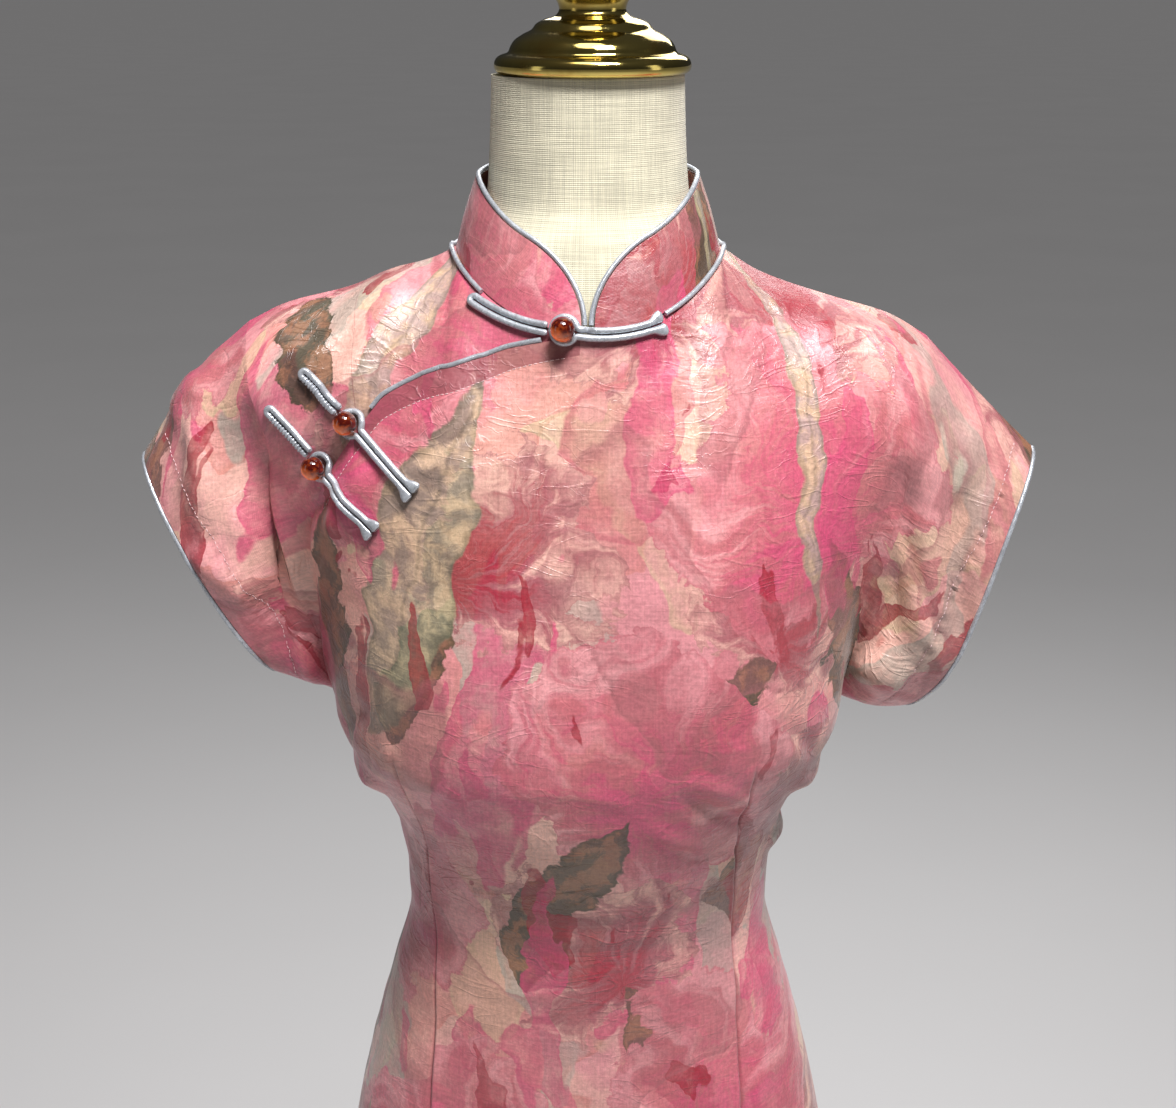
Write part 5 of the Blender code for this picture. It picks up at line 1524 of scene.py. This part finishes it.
def new_group(name, inputs, outputs):
    """An empty shader group with named sockets; returns its web, its given values and its results."""
    tree = bpy.data.node_groups.new(name, "ShaderNodeTree")
    for label, default in inputs.items():
        kind = "NodeSocketVector" if default is None else "NodeSocketFloat"
        socket = tree.interface.new_socket(name=label, in_out="INPUT", socket_type=kind)
        if default is not None:
            socket.default_value = default
    for label in outputs:
        tree.interface.new_socket(name=label, in_out="OUTPUT", socket_type="NodeSocketFloat")
    given = tree.nodes.new("NodeGroupInput").outputs
    results = tree.nodes.new("NodeGroupOutput").inputs
    return Web(tree), given, results


def make_wash_group():
    """A watercolour wash: where slow noise passes Level the colour lies, darker along its Rim."""
    inputs = {"Vector": None, "Scale": 10.0, "Level": 0.5}
    web, given, results = new_group("watercolour wash", inputs, ("Mask", "Rim"))
    tone = web.noise(given["Vector"], given["Scale"], 3.0, 0.48, 0.35)
    past = web.less(tone, given["Level"])
    mask = web.step(past, 0.0, 0.012)
    inner = web.step(past, 0.010, 0.045)
    web.put(results["Mask"], mask)
    web.put(results["Rim"], web.less(mask, inner))


def make_bloom_group():
    """A field of flowers, one in each random cell.

    About each cell's point, r is the distance and a the angle from straight up. The petals reach
    Reach * (0.60 + 0.40 cos a) * (1 - 0.30 |sin(2.5 a + random)|) plus ruffling noise. Shade is r over
    that reach, streaked along r. Vein is thin where the streaks cross their middle. Below each flower
    hangs a sheath with parabolic sides.
    """
    web, given, results = new_group(
        "painted bloom",
        {"Vector": None, "Cells": 7.0, "Reach": 0.55},
        ("Petals", "Shade", "Rim", "Vein", "Sheath", "Sheath Rim"),
    )
    scaled = web.scaled(given["Vector"], given["Cells"])
    random, local = web.cells(scaled, 0.75)
    turn = web.times(web.less(random[0], 0.5), 1.5)
    local = web.spun(local, turn)
    x, y, _ = web.split(local)
    distance = web.length(local)
    angle = web.math("ARCTAN2", x, web.times(y, -1.0))
    ruffle = web.less(web.noise(scaled, 6.0, 5.0, 0.62), 0.5)
    bend = web.times_plus(web.noise(scaled, 2.6, 2.0), 1.6, angle)
    lobes = web.absolute(web.sine(web.times_plus(bend, 2.5, web.times(random[1], 6.0))))
    reach = web.times(given["Reach"], web.times_plus(web.math("COSINE", angle), 0.40, 0.60))
    reach = web.times(reach, web.times_plus(lobes, -0.30, 1.0))
    reach = web.times_plus(ruffle, 0.42, reach)
    inside = web.less(reach, distance)
    petals = web.step(inside, 0.0, 0.012)
    along = web.math("DIVIDE", distance, web.math("MAXIMUM", reach, 0.05))
    rays = web.join(web.times(bend, 3.4), web.times(distance, 2.2))
    streaks = web.less(web.noise(rays, 1.0, 5.0, 0.66), 0.5)
    web.put(results["Petals"], petals)
    web.put(results["Shade"], web.times_plus(streaks, 1.7, along))
    web.put(results["Rim"], web.less(petals, web.step(inside, 0.010, 0.034)))
    vein = web.step(web.absolute(streaks), 0.0, 0.030, 1.0, 0.0)
    web.put(results["Vein"], web.times(web.times(vein, petals), web.step(along, 0.45, 0.95, 1.0, 0.0)))
    below = web.math("DIVIDE", web.less(y, 0.34), 0.34)
    bulge = web.less(1.0, web.math("POWER", web.absolute(below), 2.6))
    half = web.times(web.times_plus(ruffle, 0.16, 0.085), bulge)
    lean = web.absolute(web.times_plus(web.sine(web.times(y, 6.0)), 0.030, x))
    gap = web.less(half, lean)
    kept = web.math("GREATER_THAN", random[2], 0.36)
    sheath = web.times(web.step(gap, 0.0, 0.008), kept)
    web.put(results["Sheath"], sheath)
    web.put(results["Sheath Rim"], web.less(sheath, web.times(web.step(gap, 0.006, 0.020), kept)))


def make_leaf_group():
    """A field of long leaves, one in each tall random cell: its half width is a sine over its length."""
    outputs = ("Leaf", "Rim", "Rib", "Random")
    web, given, results = new_group("long leaf", {"Vector": None, "Cells": 8.0}, outputs)
    flat = web.stretched(given["Vector"], (1.0, 0.45, 1.0))
    scaled = web.scaled(flat, given["Cells"])
    random, local = web.cells(scaled, 0.8)
    turn = web.times(web.less(random[0], 0.5), 0.9)
    local = web.spun(local, turn)
    x, y, _ = web.split(local)
    share = web.times_plus(y, 1.1, 0.5)
    bend = web.times(web.sine(web.times(y, 3.0)), 0.10)
    aside = web.absolute(web.plus(x, bend))
    wide = web.sine(web.times(web.clamped(share), math.pi))
    size = web.times_plus(random[2], 0.13, 0.07)
    wobble = web.times(web.less(web.noise(scaled, 4.0, 3.0, 0.55), 0.5), 0.10)
    gap = web.less(web.times(web.plus(size, wobble), wide), aside)
    kept = web.math("GREATER_THAN", random[1], 0.40)
    leaf = web.times(web.step(gap, 0.0, 0.012), kept)
    web.put(results["Leaf"], leaf)
    web.put(results["Rim"], web.less(leaf, web.times(web.step(gap, 0.010, 0.034), kept)))
    web.put(results["Rib"], web.times(leaf, web.step(aside, 0.0, 0.016, 1.0, 0.0)))
    web.put(results["Random"], random[2])


def make_crinkle_group():
    """Fine creases of silk: narrow lines where two slow noises cross their middle, and a soft unevenness."""
    web, given, results = new_group("silk crinkle", {"Vector": None, "Crumple": 0.5}, ("Height",))
    wide = web.stretched(given["Vector"], (0.42, 1.0, 1.0))
    first = web.absolute(web.less(web.noise(wide, 58.0, 2.0, 0.5, 0.8), 0.5))
    second = web.absolute(web.less(web.noise(given["Vector"], 95.0, 2.0, 0.5, 0.6), 0.5))
    folds = web.plus(web.step(first, 0.0, 0.055, 1.0, 0.0), web.step(second, 0.0, 0.05, 0.55, 0.0))
    soft = web.noise(wide, 120.0, 3.0, 0.55)
    where = web.step(web.noise(given["Vector"], 17.0, 2.0), 0.38, 0.62, 0.25, 1.0)
    height = web.times_plus(web.times(folds, where), given["Crumple"], web.times(soft, 0.9))
    web.put(results["Height"], height)


def make_weave_group():
    """Threads both ways: two rows of sine ridges whose strength wanders like slubs. Tone is 0 to 1."""
    inputs = {"Vector": None, "Pitch": 0.0006, "Slub": 0.5}
    web, given, results = new_group("cloth weave", inputs, ("Height", "Tone"))
    count = web.math("DIVIDE", 2 * math.pi, given["Pitch"])
    x, y, _ = web.split(given["Vector"])
    warp = web.sine(web.times(x, count))
    weft = web.sine(web.times(y, count))
    warp_slub = web.noise(web.stretched(given["Vector"], (900.0, 26.0, 1.0)), 1.0, 2.0)
    weft_slub = web.noise(web.stretched(given["Vector"], (30.0, 800.0, 1.0)), 1.0, 2.0)
    threads = web.times_plus(web.plus(warp, weft), 0.22, 0.5)
    slubs = web.times(web.plus(warp_slub, weft_slub), 0.5)
    web.put(results["Height"], web.times_plus(slubs, given["Slub"], threads))
    web.put(results["Tone"], slubs)


def new_material(name, roughness, metallic=0.0, **more):
    """A material with its Principled shader; constants are set on the shader's own sockets."""
    made = bpy.data.materials.new(f"{name}_look")
    made.use_nodes = True
    shader = made.node_tree.nodes["Principled BSDF"]
    shader.inputs["Roughness"].default_value = roughness
    shader.inputs["Metallic"].default_value = metallic
    for label, value in more.items():
        shader.inputs[label.replace("_", " ")].default_value = value
    return made, Web(made.node_tree), shader.inputs


def painted_flowers(web, at):
    """The print's colour: washes of pink, cream and grey, with flowers, leaves and sheaths laid over them."""
    drift = web.join(web.noise(at, 16.0, 3.0), web.noise(web.moved(at, (7.0, 3.0, 0.0)), 16.0, 3.0))
    drift = web.scaled(web.offset(drift, (0.5, 0.5, 0.0)), 0.030)
    fine = web.join(web.noise(at, 90.0, 3.0), web.noise(web.moved(at, (3.0, 9.0, 0.0)), 90.0, 3.0))
    fine = web.scaled(web.offset(fine, (0.5, 0.5, 0.0)), 0.006)
    warped = web.moved(web.moved(at, drift), fine)
    tall = web.stretched(warped, (1.0, 0.45, 1.0))
    flecks = web.noise(warped, 60.0, 5.0, 0.65)

    def lay(base, mask, strength, paint):
        return web.mix(web.times(mask, strength), base, paint)

    def layers(base, masks, rows):
        for name, strength, paint in rows:
            base = lay(base, masks[name], strength, paint)
        return base

    def washes(base, rows):
        for vector, shift, scale, level, strength, paint in rows:
            wanted = {"Vector": web.moved(vector, shift), "Scale": scale, "Level": level}
            found = web.place_group("watercolour wash", wanted)
            mottled = web.times(found["Mask"], web.step(flecks, 0.30, 0.62, 0.55, 1.0))
            base = lay(lay(base, mottled, strength, colour(paint)), found["Rim"], 0.40, colour(paint))
        return base

    def blooms(base, rows):
        for shift, cells, reach, deep, middle, pale in rows:
            wanted = {"Vector": web.moved(warped, shift), "Cells": cells, "Reach": reach}
            bloom = web.place_group("painted bloom", wanted)
            petal = web.mix(web.step(bloom["Shade"], 0.05, 0.62), colour(deep), colour(middle))
            petal = web.mix(web.step(bloom["Shade"], 0.55, 1.10), petal, colour(pale))
            leafy = web.mix(web.step(flecks, 0.42, 0.56), colour("bark"), colour("olive"))
            base = layers(base, bloom, (
                ("Petals", 0.84, petal), ("Rim", 0.55, colour(middle)), ("Vein", 0.45, colour(deep)),
                ("Sheath", 0.88, leafy), ("Sheath Rim", 0.60, colour("olive")),
            ))
        return base

    soft = web.noise(warped, 9.0, 5.0, 0.6)
    base = web.mix(web.step(soft, 0.36, 0.60), colour("blush"), colour("cream"))
    base = washes(base, (
        (warped, (2.0, 5.0, 0.0), 9.0, 0.52, 0.50, "salmon"),
        (warped, (8.0, 2.0, 0.0), 8.0, 0.56, 0.45, "straw"),
        (tall, (6.0, 1.0, 0.0), 10.0, 0.55, 0.55, "rose"),
        (tall, (4.0, 8.0, 0.0), 10.0, 0.575, 0.70, "greige"),
        (tall, (9.0, 4.0, 0.0), 12.0, 0.585, 0.72, "magenta"),
    ))
    base = blooms(base, (
        ((3.3, 1.7, 0.0), 5.6, 0.62, "crimson", "faded", "cream"),
        ((0.0, 0.0, 0.0), 4.4, 0.70, "magenta", "rose", "blush"),
    ))
    leaf = web.place_group("long leaf", {"Vector": web.moved(warped, (1.3, 2.2, 0.0)), "Cells": 7.5})
    green = web.mix(web.step(leaf["Random"], 0.30, 0.80), colour("greige"), colour("leaf"))
    green = web.mix(web.step(flecks, 0.40, 0.66), green, colour("straw"))
    olive = colour("olive")
    base = layers(base, leaf, (("Leaf", 0.72, green), ("Rim", 0.40, olive), ("Rib", 0.30, olive)))
    base = washes(base, (
        (tall, (12.0, 6.0, 0.0), 24.0, 0.665, 0.80, "crimson"),
        (tall, (19.0, 7.0, 0.0), 15.0, 0.65, 0.60, "magenta"),
        (warped, (5.0, 15.0, 0.0), 6.0, 0.52, 0.34, "faded"),
    ))
    grain = web.step(web.noise(at, 420.0, 3.0, 0.7), 0.25, 0.75, 0.86, 1.12)
    return web.shaded(base, grain)


def printed_satin():
    """Satin with the painterly print, woven and slightly crumpled, with a darker strip along the flap."""
    made, web, shader = new_material(
        "printed_satin", 0.36, Sheen_Weight=0.16, Sheen_Roughness=0.35, Specular_IOR_Level=0.7,
    )
    at = web.cloth_at()
    paint = painted_flowers(web, at)
    weave = web.place_group("cloth weave", {"Vector": at, "Pitch": 0.0007, "Slub": 1.2})
    tone = web.step(weave["Tone"], 0.30, 0.70, 0.92, 1.07)
    paint = web.shaded(paint, tone)
    edge = web.attribute("edge")
    strip = web.times(web.step(edge, -0.004, -0.001), web.step(edge, 0.0108, 0.0113, 1.0, 0.0))
    shaded = web.mix(0.72, paint, colour("mauve"))
    paint = web.mix(strip, paint, shaded)
    # Painted shade: the print darkened towards mauve in the darts' creases and the cuffs' stitched grooves
    seam = web.attribute("seam")
    web.put(shader["Base Color"], web.mix(web.times(seam, 0.6), paint, colour("mauve")))
    crumple = web.attribute("crumple")
    crinkle = web.place_group("silk crinkle", {"Vector": at, "Crumple": crumple})
    normal = web.bump(crinkle["Height"], 0.55, 0.0009)
    web.put(shader["Normal"], web.bump(weave["Height"], 0.35, 0.00022, normal))
    web.put(shader["Roughness"], web.step(web.noise(at, 70.0, 3.0), 0.3, 0.7, 0.30, 0.42))
    return made


def silver_satin():
    """Grey satin cut on the bias: fine slanting threads along the cord, a little darker in places."""
    made, web, shader = new_material(
        "silver_satin", 0.28, metallic=0.45, Sheen_Weight=0.1, Sheen_Roughness=0.3,
    )
    at = web.cloth_at()
    slant = web.spun(at, math.radians(45))
    weave = web.place_group("cloth weave", {"Vector": slant, "Pitch": 0.0007, "Slub": 1.0})
    tone = web.step(weave["Tone"], 0.3, 0.7, 0.80, 1.10)
    cloud = web.step(web.noise(at, 60.0, 3.0), 0.35, 0.65, 0.86, 1.05)
    base = web.shaded(colour("silver"), tone)
    web.put(shader["Base Color"], web.shaded(base, cloud))
    web.put(shader["Roughness"], web.step(web.noise(at, 160.0, 2.0), 0.3, 0.7, 0.24, 0.38))
    web.put(shader["Normal"], web.bump(weave["Height"], 0.4, 0.00016))
    return made


def amber_glass():
    """Deep amber glass with a painted glow low in each bead, base colour and emission standing in for light
    that gathers there.
    """
    made, web, shader = new_material(
        "amber_glass", 0.05, Coat_Weight=0.6, Coat_Roughness=0.02, Specular_IOR_Level=0.6,
    )
    # Painted light: the lower side of each bead and cloudy patches are coloured glowing orange; the rest
    # keeps the glass's dark amber
    low = web.step(web.attribute("low_side"), -0.15, 0.85)
    object_at = web.object_at()
    cloud = web.times(web.less(web.noise(object_at, 420.0, 3.0, flat=False), 0.5), 0.7)
    glow = web.clamped(web.plus(low, cloud))
    web.put(shader["Base Color"], web.mix(glow, colour("amber_dark"), colour("amber_painted_glow")))
    # Painted glow: a weak emission in the same places, though the bead is no lamp
    web.put(shader["Emission Color"], web.mix(glow, (0.0, 0.0, 0.0, 1.0), colour("amber_painted_glow")))
    shader["Emission Strength"].default_value = 0.25
    return made


def cream_linen():
    """Coarse linen: cross-woven slubby threads, a few of them darker."""
    made, web, shader = new_material("cream_linen", 0.85, Sheen_Weight=0.2)
    object_at = web.object_at()
    x, y, z = web.split(object_at)
    around = web.times(web.math("ARCTAN2", x, web.times(y, -1.0)), 0.055)
    at = web.join(around, z)
    weave = web.place_group("cloth weave", {"Vector": at, "Pitch": 0.0010, "Slub": 1.6})
    tone = web.step(weave["Tone"], 0.34, 0.66, 0.84, 1.06)
    blotch = web.step(web.noise(at, 30.0, 4.0, 0.6), 0.3, 0.7, 0.90, 1.06)
    base = web.shaded(colour("linen"), tone)
    web.put(shader["Base Color"], web.shaded(base, blotch))
    web.put(shader["Normal"], web.bump(weave["Height"], 0.6, 0.0004))
    return made


def polished_brass():
    """Bright brass with faint turning lines, soft smudges and slight darkening."""
    made, web, shader = new_material("polished_brass", 0.14, metallic=1.0)
    object_at = web.object_at()
    smudge = web.noise(object_at, 34.0, 5.0, 0.6, flat=False)
    worn = web.mix(web.step(smudge, 0.45, 0.75), colour("brass"), (0.46, 0.30, 0.07, 1.0))
    web.put(shader["Base Color"], worn)
    web.put(shader["Roughness"], web.step(smudge, 0.35, 0.75, 0.07, 0.22))
    z = web.split(object_at)[2]
    lines = web.noise(web.join(0.0, 0.0, web.times(z, 2600.0)), 1.0, 2.0, flat=False)
    web.put(shader["Normal"], web.bump(lines, 0.08, 0.0002))
    return made


def stitch_thread():
    """Pale pink thread, lightly twisted."""
    made, web, shader = new_material("stitch_thread", 0.5, Sheen_Weight=0.3)
    object_at = web.object_at()
    shade = web.step(web.noise(object_at, 900.0, 2.0, flat=False), 0.3, 0.7, 0.75, 1.1)
    web.put(shader["Base Color"], web.shaded(colour("thread"), shade))
    return made


def pale_floor():
    made, web, shader = new_material("pale_floor", 0.62)
    object_at = web.object_at()
    cloud = web.step(web.noise(object_at, 1.2, 4.0, flat=False), 0.3, 0.7, 0.985, 1.01)
    web.put(shader["Base Color"], web.shaded(colour("floor"), cloud))
    return made


GROUPS = {
    "watercolour wash": make_wash_group,
    "painted bloom": make_bloom_group,
    "long leaf": make_leaf_group,
    "silk crinkle": make_crinkle_group,
    "cloth weave": make_weave_group,
}
FINISHES = {
    "printed_satin": printed_satin,
    "silver_satin": silver_satin,
    "amber_glass": amber_glass,
    "cream_linen": cream_linen,
    "polished_brass": polished_brass,
    "stitch_thread": stitch_thread,
    "pale_floor": pale_floor,
}


def finish(name):
    """A material by name, made once, with the node groups that materials share."""
    for label, make in GROUPS.items():
        if label not in bpy.data.node_groups:
            make()
    return bpy.data.materials.get(f"{name}_look") or FINISHES[name]()


# Studio

def studio_floor():
    """A round floor: rings of points at growing radii."""
    radius, angle = np.meshgrid(FLOOR_RADII, np.linspace(0, 2 * math.pi, 97), indexing="ij")
    points = np.stack([radius * np.cos(angle), radius * np.sin(angle), 0 * angle - FLOOR_DROP], axis=-1)
    points = points.reshape(-1, 3)
    first, triangles = welded(points, grid_triangles(*radius.shape))
    points = points[first]
    triangles = outward_first(points, triangles, np.broadcast_to([0.0, 0.0, 1.0], points.shape))
    floor = mesh_piece("studio_floor", points, triangles, finish("pale_floor"))


def link_light(data, place_at, way):
    light = bpy.data.objects.new(data.name, data)
    light.location = place_at
    light.rotation_euler = Vector(way).to_track_quat("-Z", "Y").to_euler()
    bpy.context.scene.collection.objects.link(light)


def studio_lights():
    """Soft rectangles aimed at the chest, and broad light from above and a little in front."""
    for name, place_at, size, watts, tint in LIGHTS:
        data = bpy.data.lights.new(name, "AREA")
        data.shape = "RECTANGLE"
        data.size, data.size_y = size
        data.energy = watts
        data.color = tint
        link_light(data, place_at, Vector(CHEST) - Vector(place_at))
    data = bpy.data.lights.new("overhead_sun", "SUN")
    data.energy = SUN_STRENGTH
    data.angle = SUN_ANGLE
    data.color = SUN_TINT
    link_light(data, (0.0, 0.0, 0.0), SUN_WAY)


def studio_world():
    """Quiet light from all round, a little brighter overhead, seen as a pale backdrop."""
    world = bpy.data.worlds.new("studio")
    world.use_nodes = True
    web = Web(world.node_tree)
    height = web.split(web.add("ShaderNodeTexCoord").outputs["Generated"])[2]
    quiet = web.mix(web.step(height, 0.05, 0.9), SKY_LOW, SKY_HIGH)
    seen = web.add("ShaderNodeLightPath").outputs["Is Camera Ray"]
    background = world.node_tree.nodes["Background"]
    web.put(background.inputs["Color"], web.mix(seen, quiet, BACKDROP))
    background.inputs["Strength"].default_value = 1.0
    bpy.context.scene.world = world


def photo_camera():
    """A level-sided camera a little above the shoulders, looking down at the chest."""
    data = bpy.data.cameras.new("photo_camera")
    data.sensor_width = 36.0
    data.lens = CAMERA_LENS
    data.clip_end = CAMERA_REACH
    camera = bpy.data.objects.new("photo_camera", data)
    camera.location = CAMERA_AT
    camera.rotation_euler = (math.radians(90 - CAMERA_DOWN), 0.0, 0.0)
    bpy.context.scene.collection.objects.link(camera)
    bpy.context.scene.camera = camera


# Operators

def cloth_trees(*names):
    return [tree_of(bpy.data.objects[name]) for name in names]


class BuildForm(Operator):
    """Make the linen dress form, its turned brass cap, its pole and its base"""

    bl_idname = "cheongsam.form"
    bl_label = "Dress form and stand"

    def execute(self, context):
        settle_piece(form_body(finish("cream_linen")), "cream_linen", "dress_form")
        brass = finish("polished_brass")
        foot = (*CAP_CENTRE, WAIST_Z + FORM_NECK[-1][0] + STAND_GAP)
        cap = turned("neck_cap_brass", rounded(CAP_PROFILE, 0.0011), foot, (0, 0, 1), brass)
        settle_piece(cap, "polished_brass", "neck_cap")
        settle_piece(stand_pole(brass), "stand_metal", "pole")
        base = turned("stand_base", rounded(BASE_PROFILE, 0.0012), (0, 0, 0), (0, 0, 1), brass)
        settle_piece(base, "stand_metal", "base")
        return {"FINISHED"}


class BuildCloth(Operator):
    """Make the front, the back, the flap beneath the front and the collar"""

    bl_idname = "cheongsam.cloth"
    bl_label = "Dress cloth"

    def execute(self, context):
        made = (
            (front_cloth, "front_panel"), (back_cloth, "back_panel"), (flap_cloth, "under_flap"),
            (collar_band, "collar"),
        )
        for make, node in made:
            settle_piece(make(finish("printed_satin")), "printed_satin", node)
        return {"FINISHED"}


class BuildPiping(Operator):
    """Make the silver piping of the collar, the flap and the cuffs"""

    bl_idname = "cheongsam.piping"
    bl_label = "Piping"

    def execute(self, context):
        silver = finish("silver_satin")
        neck = cloth_trees("front_cloth", "back_cloth", "flap_cloth", "collar_band")
        made = (
            (collar_top_trim(silver), "collar_top_piping"),
            (collar_foot_trim(neck, silver), "collar_base_piping"),
            (flap_trim([neck[0], neck[2]], silver), "flap_piping"),
            (cuff_trim("right_cuff_trim", -1, silver), "right_cuff_piping"),
            (cuff_trim("left_cuff_trim", 1, silver), "left_cuff_piping"),
        )
        for piece, node in made:
            settle_piece(piece, "silver_satin", node)
        return {"FINISHED"}


class BuildFrogs(Operator):
    """Make the three frogs with their beads"""

    bl_idname = "cheongsam.frogs"
    bl_label = "Frogs"

    def execute(self, context):
        silver, glass = finish("silver_satin"), finish("amber_glass")
        trees = cloth_trees("front_cloth", "flap_cloth")
        for name, (outer, bead, inner) in SHOULDER_FROGS.items():
            frog(name, shoulder_leg(outer, bead), shoulder_leg(inner, bead), trees, silver, glass)
        trees += cloth_trees("collar_band", "collar_top_trim", "collar_foot_trim")
        ends = list(zip(COLLAR_FROG_TURNS, COLLAR_FROG_DROPS))
        frog("collar", collar_leg(ends[0], ends[1]), collar_leg(ends[2], ends[1]), trees, silver, glass)
        return {"FINISHED"}


class BuildStitching(Operator):
    """Make the topstitching of the flap, the cuffs, the hem and the slits"""

    bl_idname = "cheongsam.stitching"
    bl_label = "Topstitching"

    def execute(self, context):
        thread = finish("stitch_thread")
        front, back, flap = cloth_trees("front_cloth", "back_cloth", "flap_cloth")
        u = -np.linspace(0.03, 0.60, 200)
        v = flap_v(u) + FLAP_STITCH_DOWN / V_SPAN
        run = stitch_run(u, v, False, layer(), [front])
        settle_piece(stitches("flap_stitching", [run], thread), "printed_satin")
        rows = np.linspace(0.03, 0.97, 200)
        runs = []
        for side, tree in ((-1, flap), (1, front)):
            u = side * cuff_stitch_u(np.full(len(rows), float(side)), rows)
            runs.append(stitch_run(u, rows, False, 0.0, [tree]))
            runs.append(stitch_run(u, rows, True, 0.0, [back]))
        settle_piece(stitches("cuff_stitching", runs, thread), "printed_satin")
        across = np.linspace(-SLIT_STITCH_U, SLIT_STITCH_U, 300)
        low = np.full(300, HEM_V - sizes().hem / V_SPAN)
        slit_top = 1 + (ARMPIT_UP + SLIT_TOP_BELOW_WAIST) / V_SPAN
        down = np.linspace(slit_top - 0.03, HEM_V - sizes().hem / V_SPAN, 200)
        runs = []
        for is_back, tree in ((False, front), (True, back)):
            runs.append(stitch_run(across * slit_share(low), low, is_back, 0.0, [tree]))
            for side in (-1, 1):
                beside = side * SLIT_STITCH_U * slit_share(down)
                runs.append(stitch_run(beside, down, is_back, 0.0, [tree]))
        settle_piece(stitches("hem_stitching", runs, thread), "printed_satin")
        return {"FINISHED"}


class DeclareCloth(Operator):
    """A step that does nothing: no sheet sizes are stated here"""

    bl_idname = "cheongsam.declare"
    bl_label = "Sheet sizes"

    def execute(self, context):
        return {"FINISHED"}


class BuildStudio(Operator):
    """Make the pale floor, the lights and the camera"""

    bl_idname = "cheongsam.studio"
    bl_label = "Studio"

    def execute(self, context):
        studio_floor()
        studio_world()
        studio_lights()
        photo_camera()
        context.scene.view_settings.view_transform = "Standard"
        return {"FINISHED"}


STEPS = (BuildForm, BuildCloth, BuildPiping, BuildFrogs, BuildStitching, DeclareCloth, BuildStudio)


class DressPanel(Panel):
    """Lists the steps that build the dress, with its sizes and colours"""

    bl_idname = "VIEW3D_PT_cheongsam"
    bl_label = "Cheongsam"
    bl_space_type = "VIEW_3D"
    bl_region_type = "UI"
    bl_category = "Cheongsam"

    def draw(self, context):
        column = self.layout.column(align=True)
        for step in STEPS:
            column.operator(step.bl_idname)
        for group in (context.scene.dress_sizes, context.scene.dress_colours):
            box = self.layout.box()
            for name in group.__annotations__:
                box.prop(group, name)


CLASSES = (DressSizes, DressColours, *STEPS, DressPanel)


def register():
    for item in CLASSES:
        bpy.utils.register_class(item)
    bpy.types.Scene.dress_sizes = PointerProperty(type=DressSizes)
    bpy.types.Scene.dress_colours = PointerProperty(type=DressColours)


def unregister():
    del bpy.types.Scene.dress_colours
    del bpy.types.Scene.dress_sizes
    for item in reversed(CLASSES):
        bpy.utils.unregister_class(item)


def main():
    register()
    for step in STEPS:
        getattr(bpy.ops.cheongsam, step.bl_idname.partition(".")[2])()


if __name__ == "__main__":
    main()
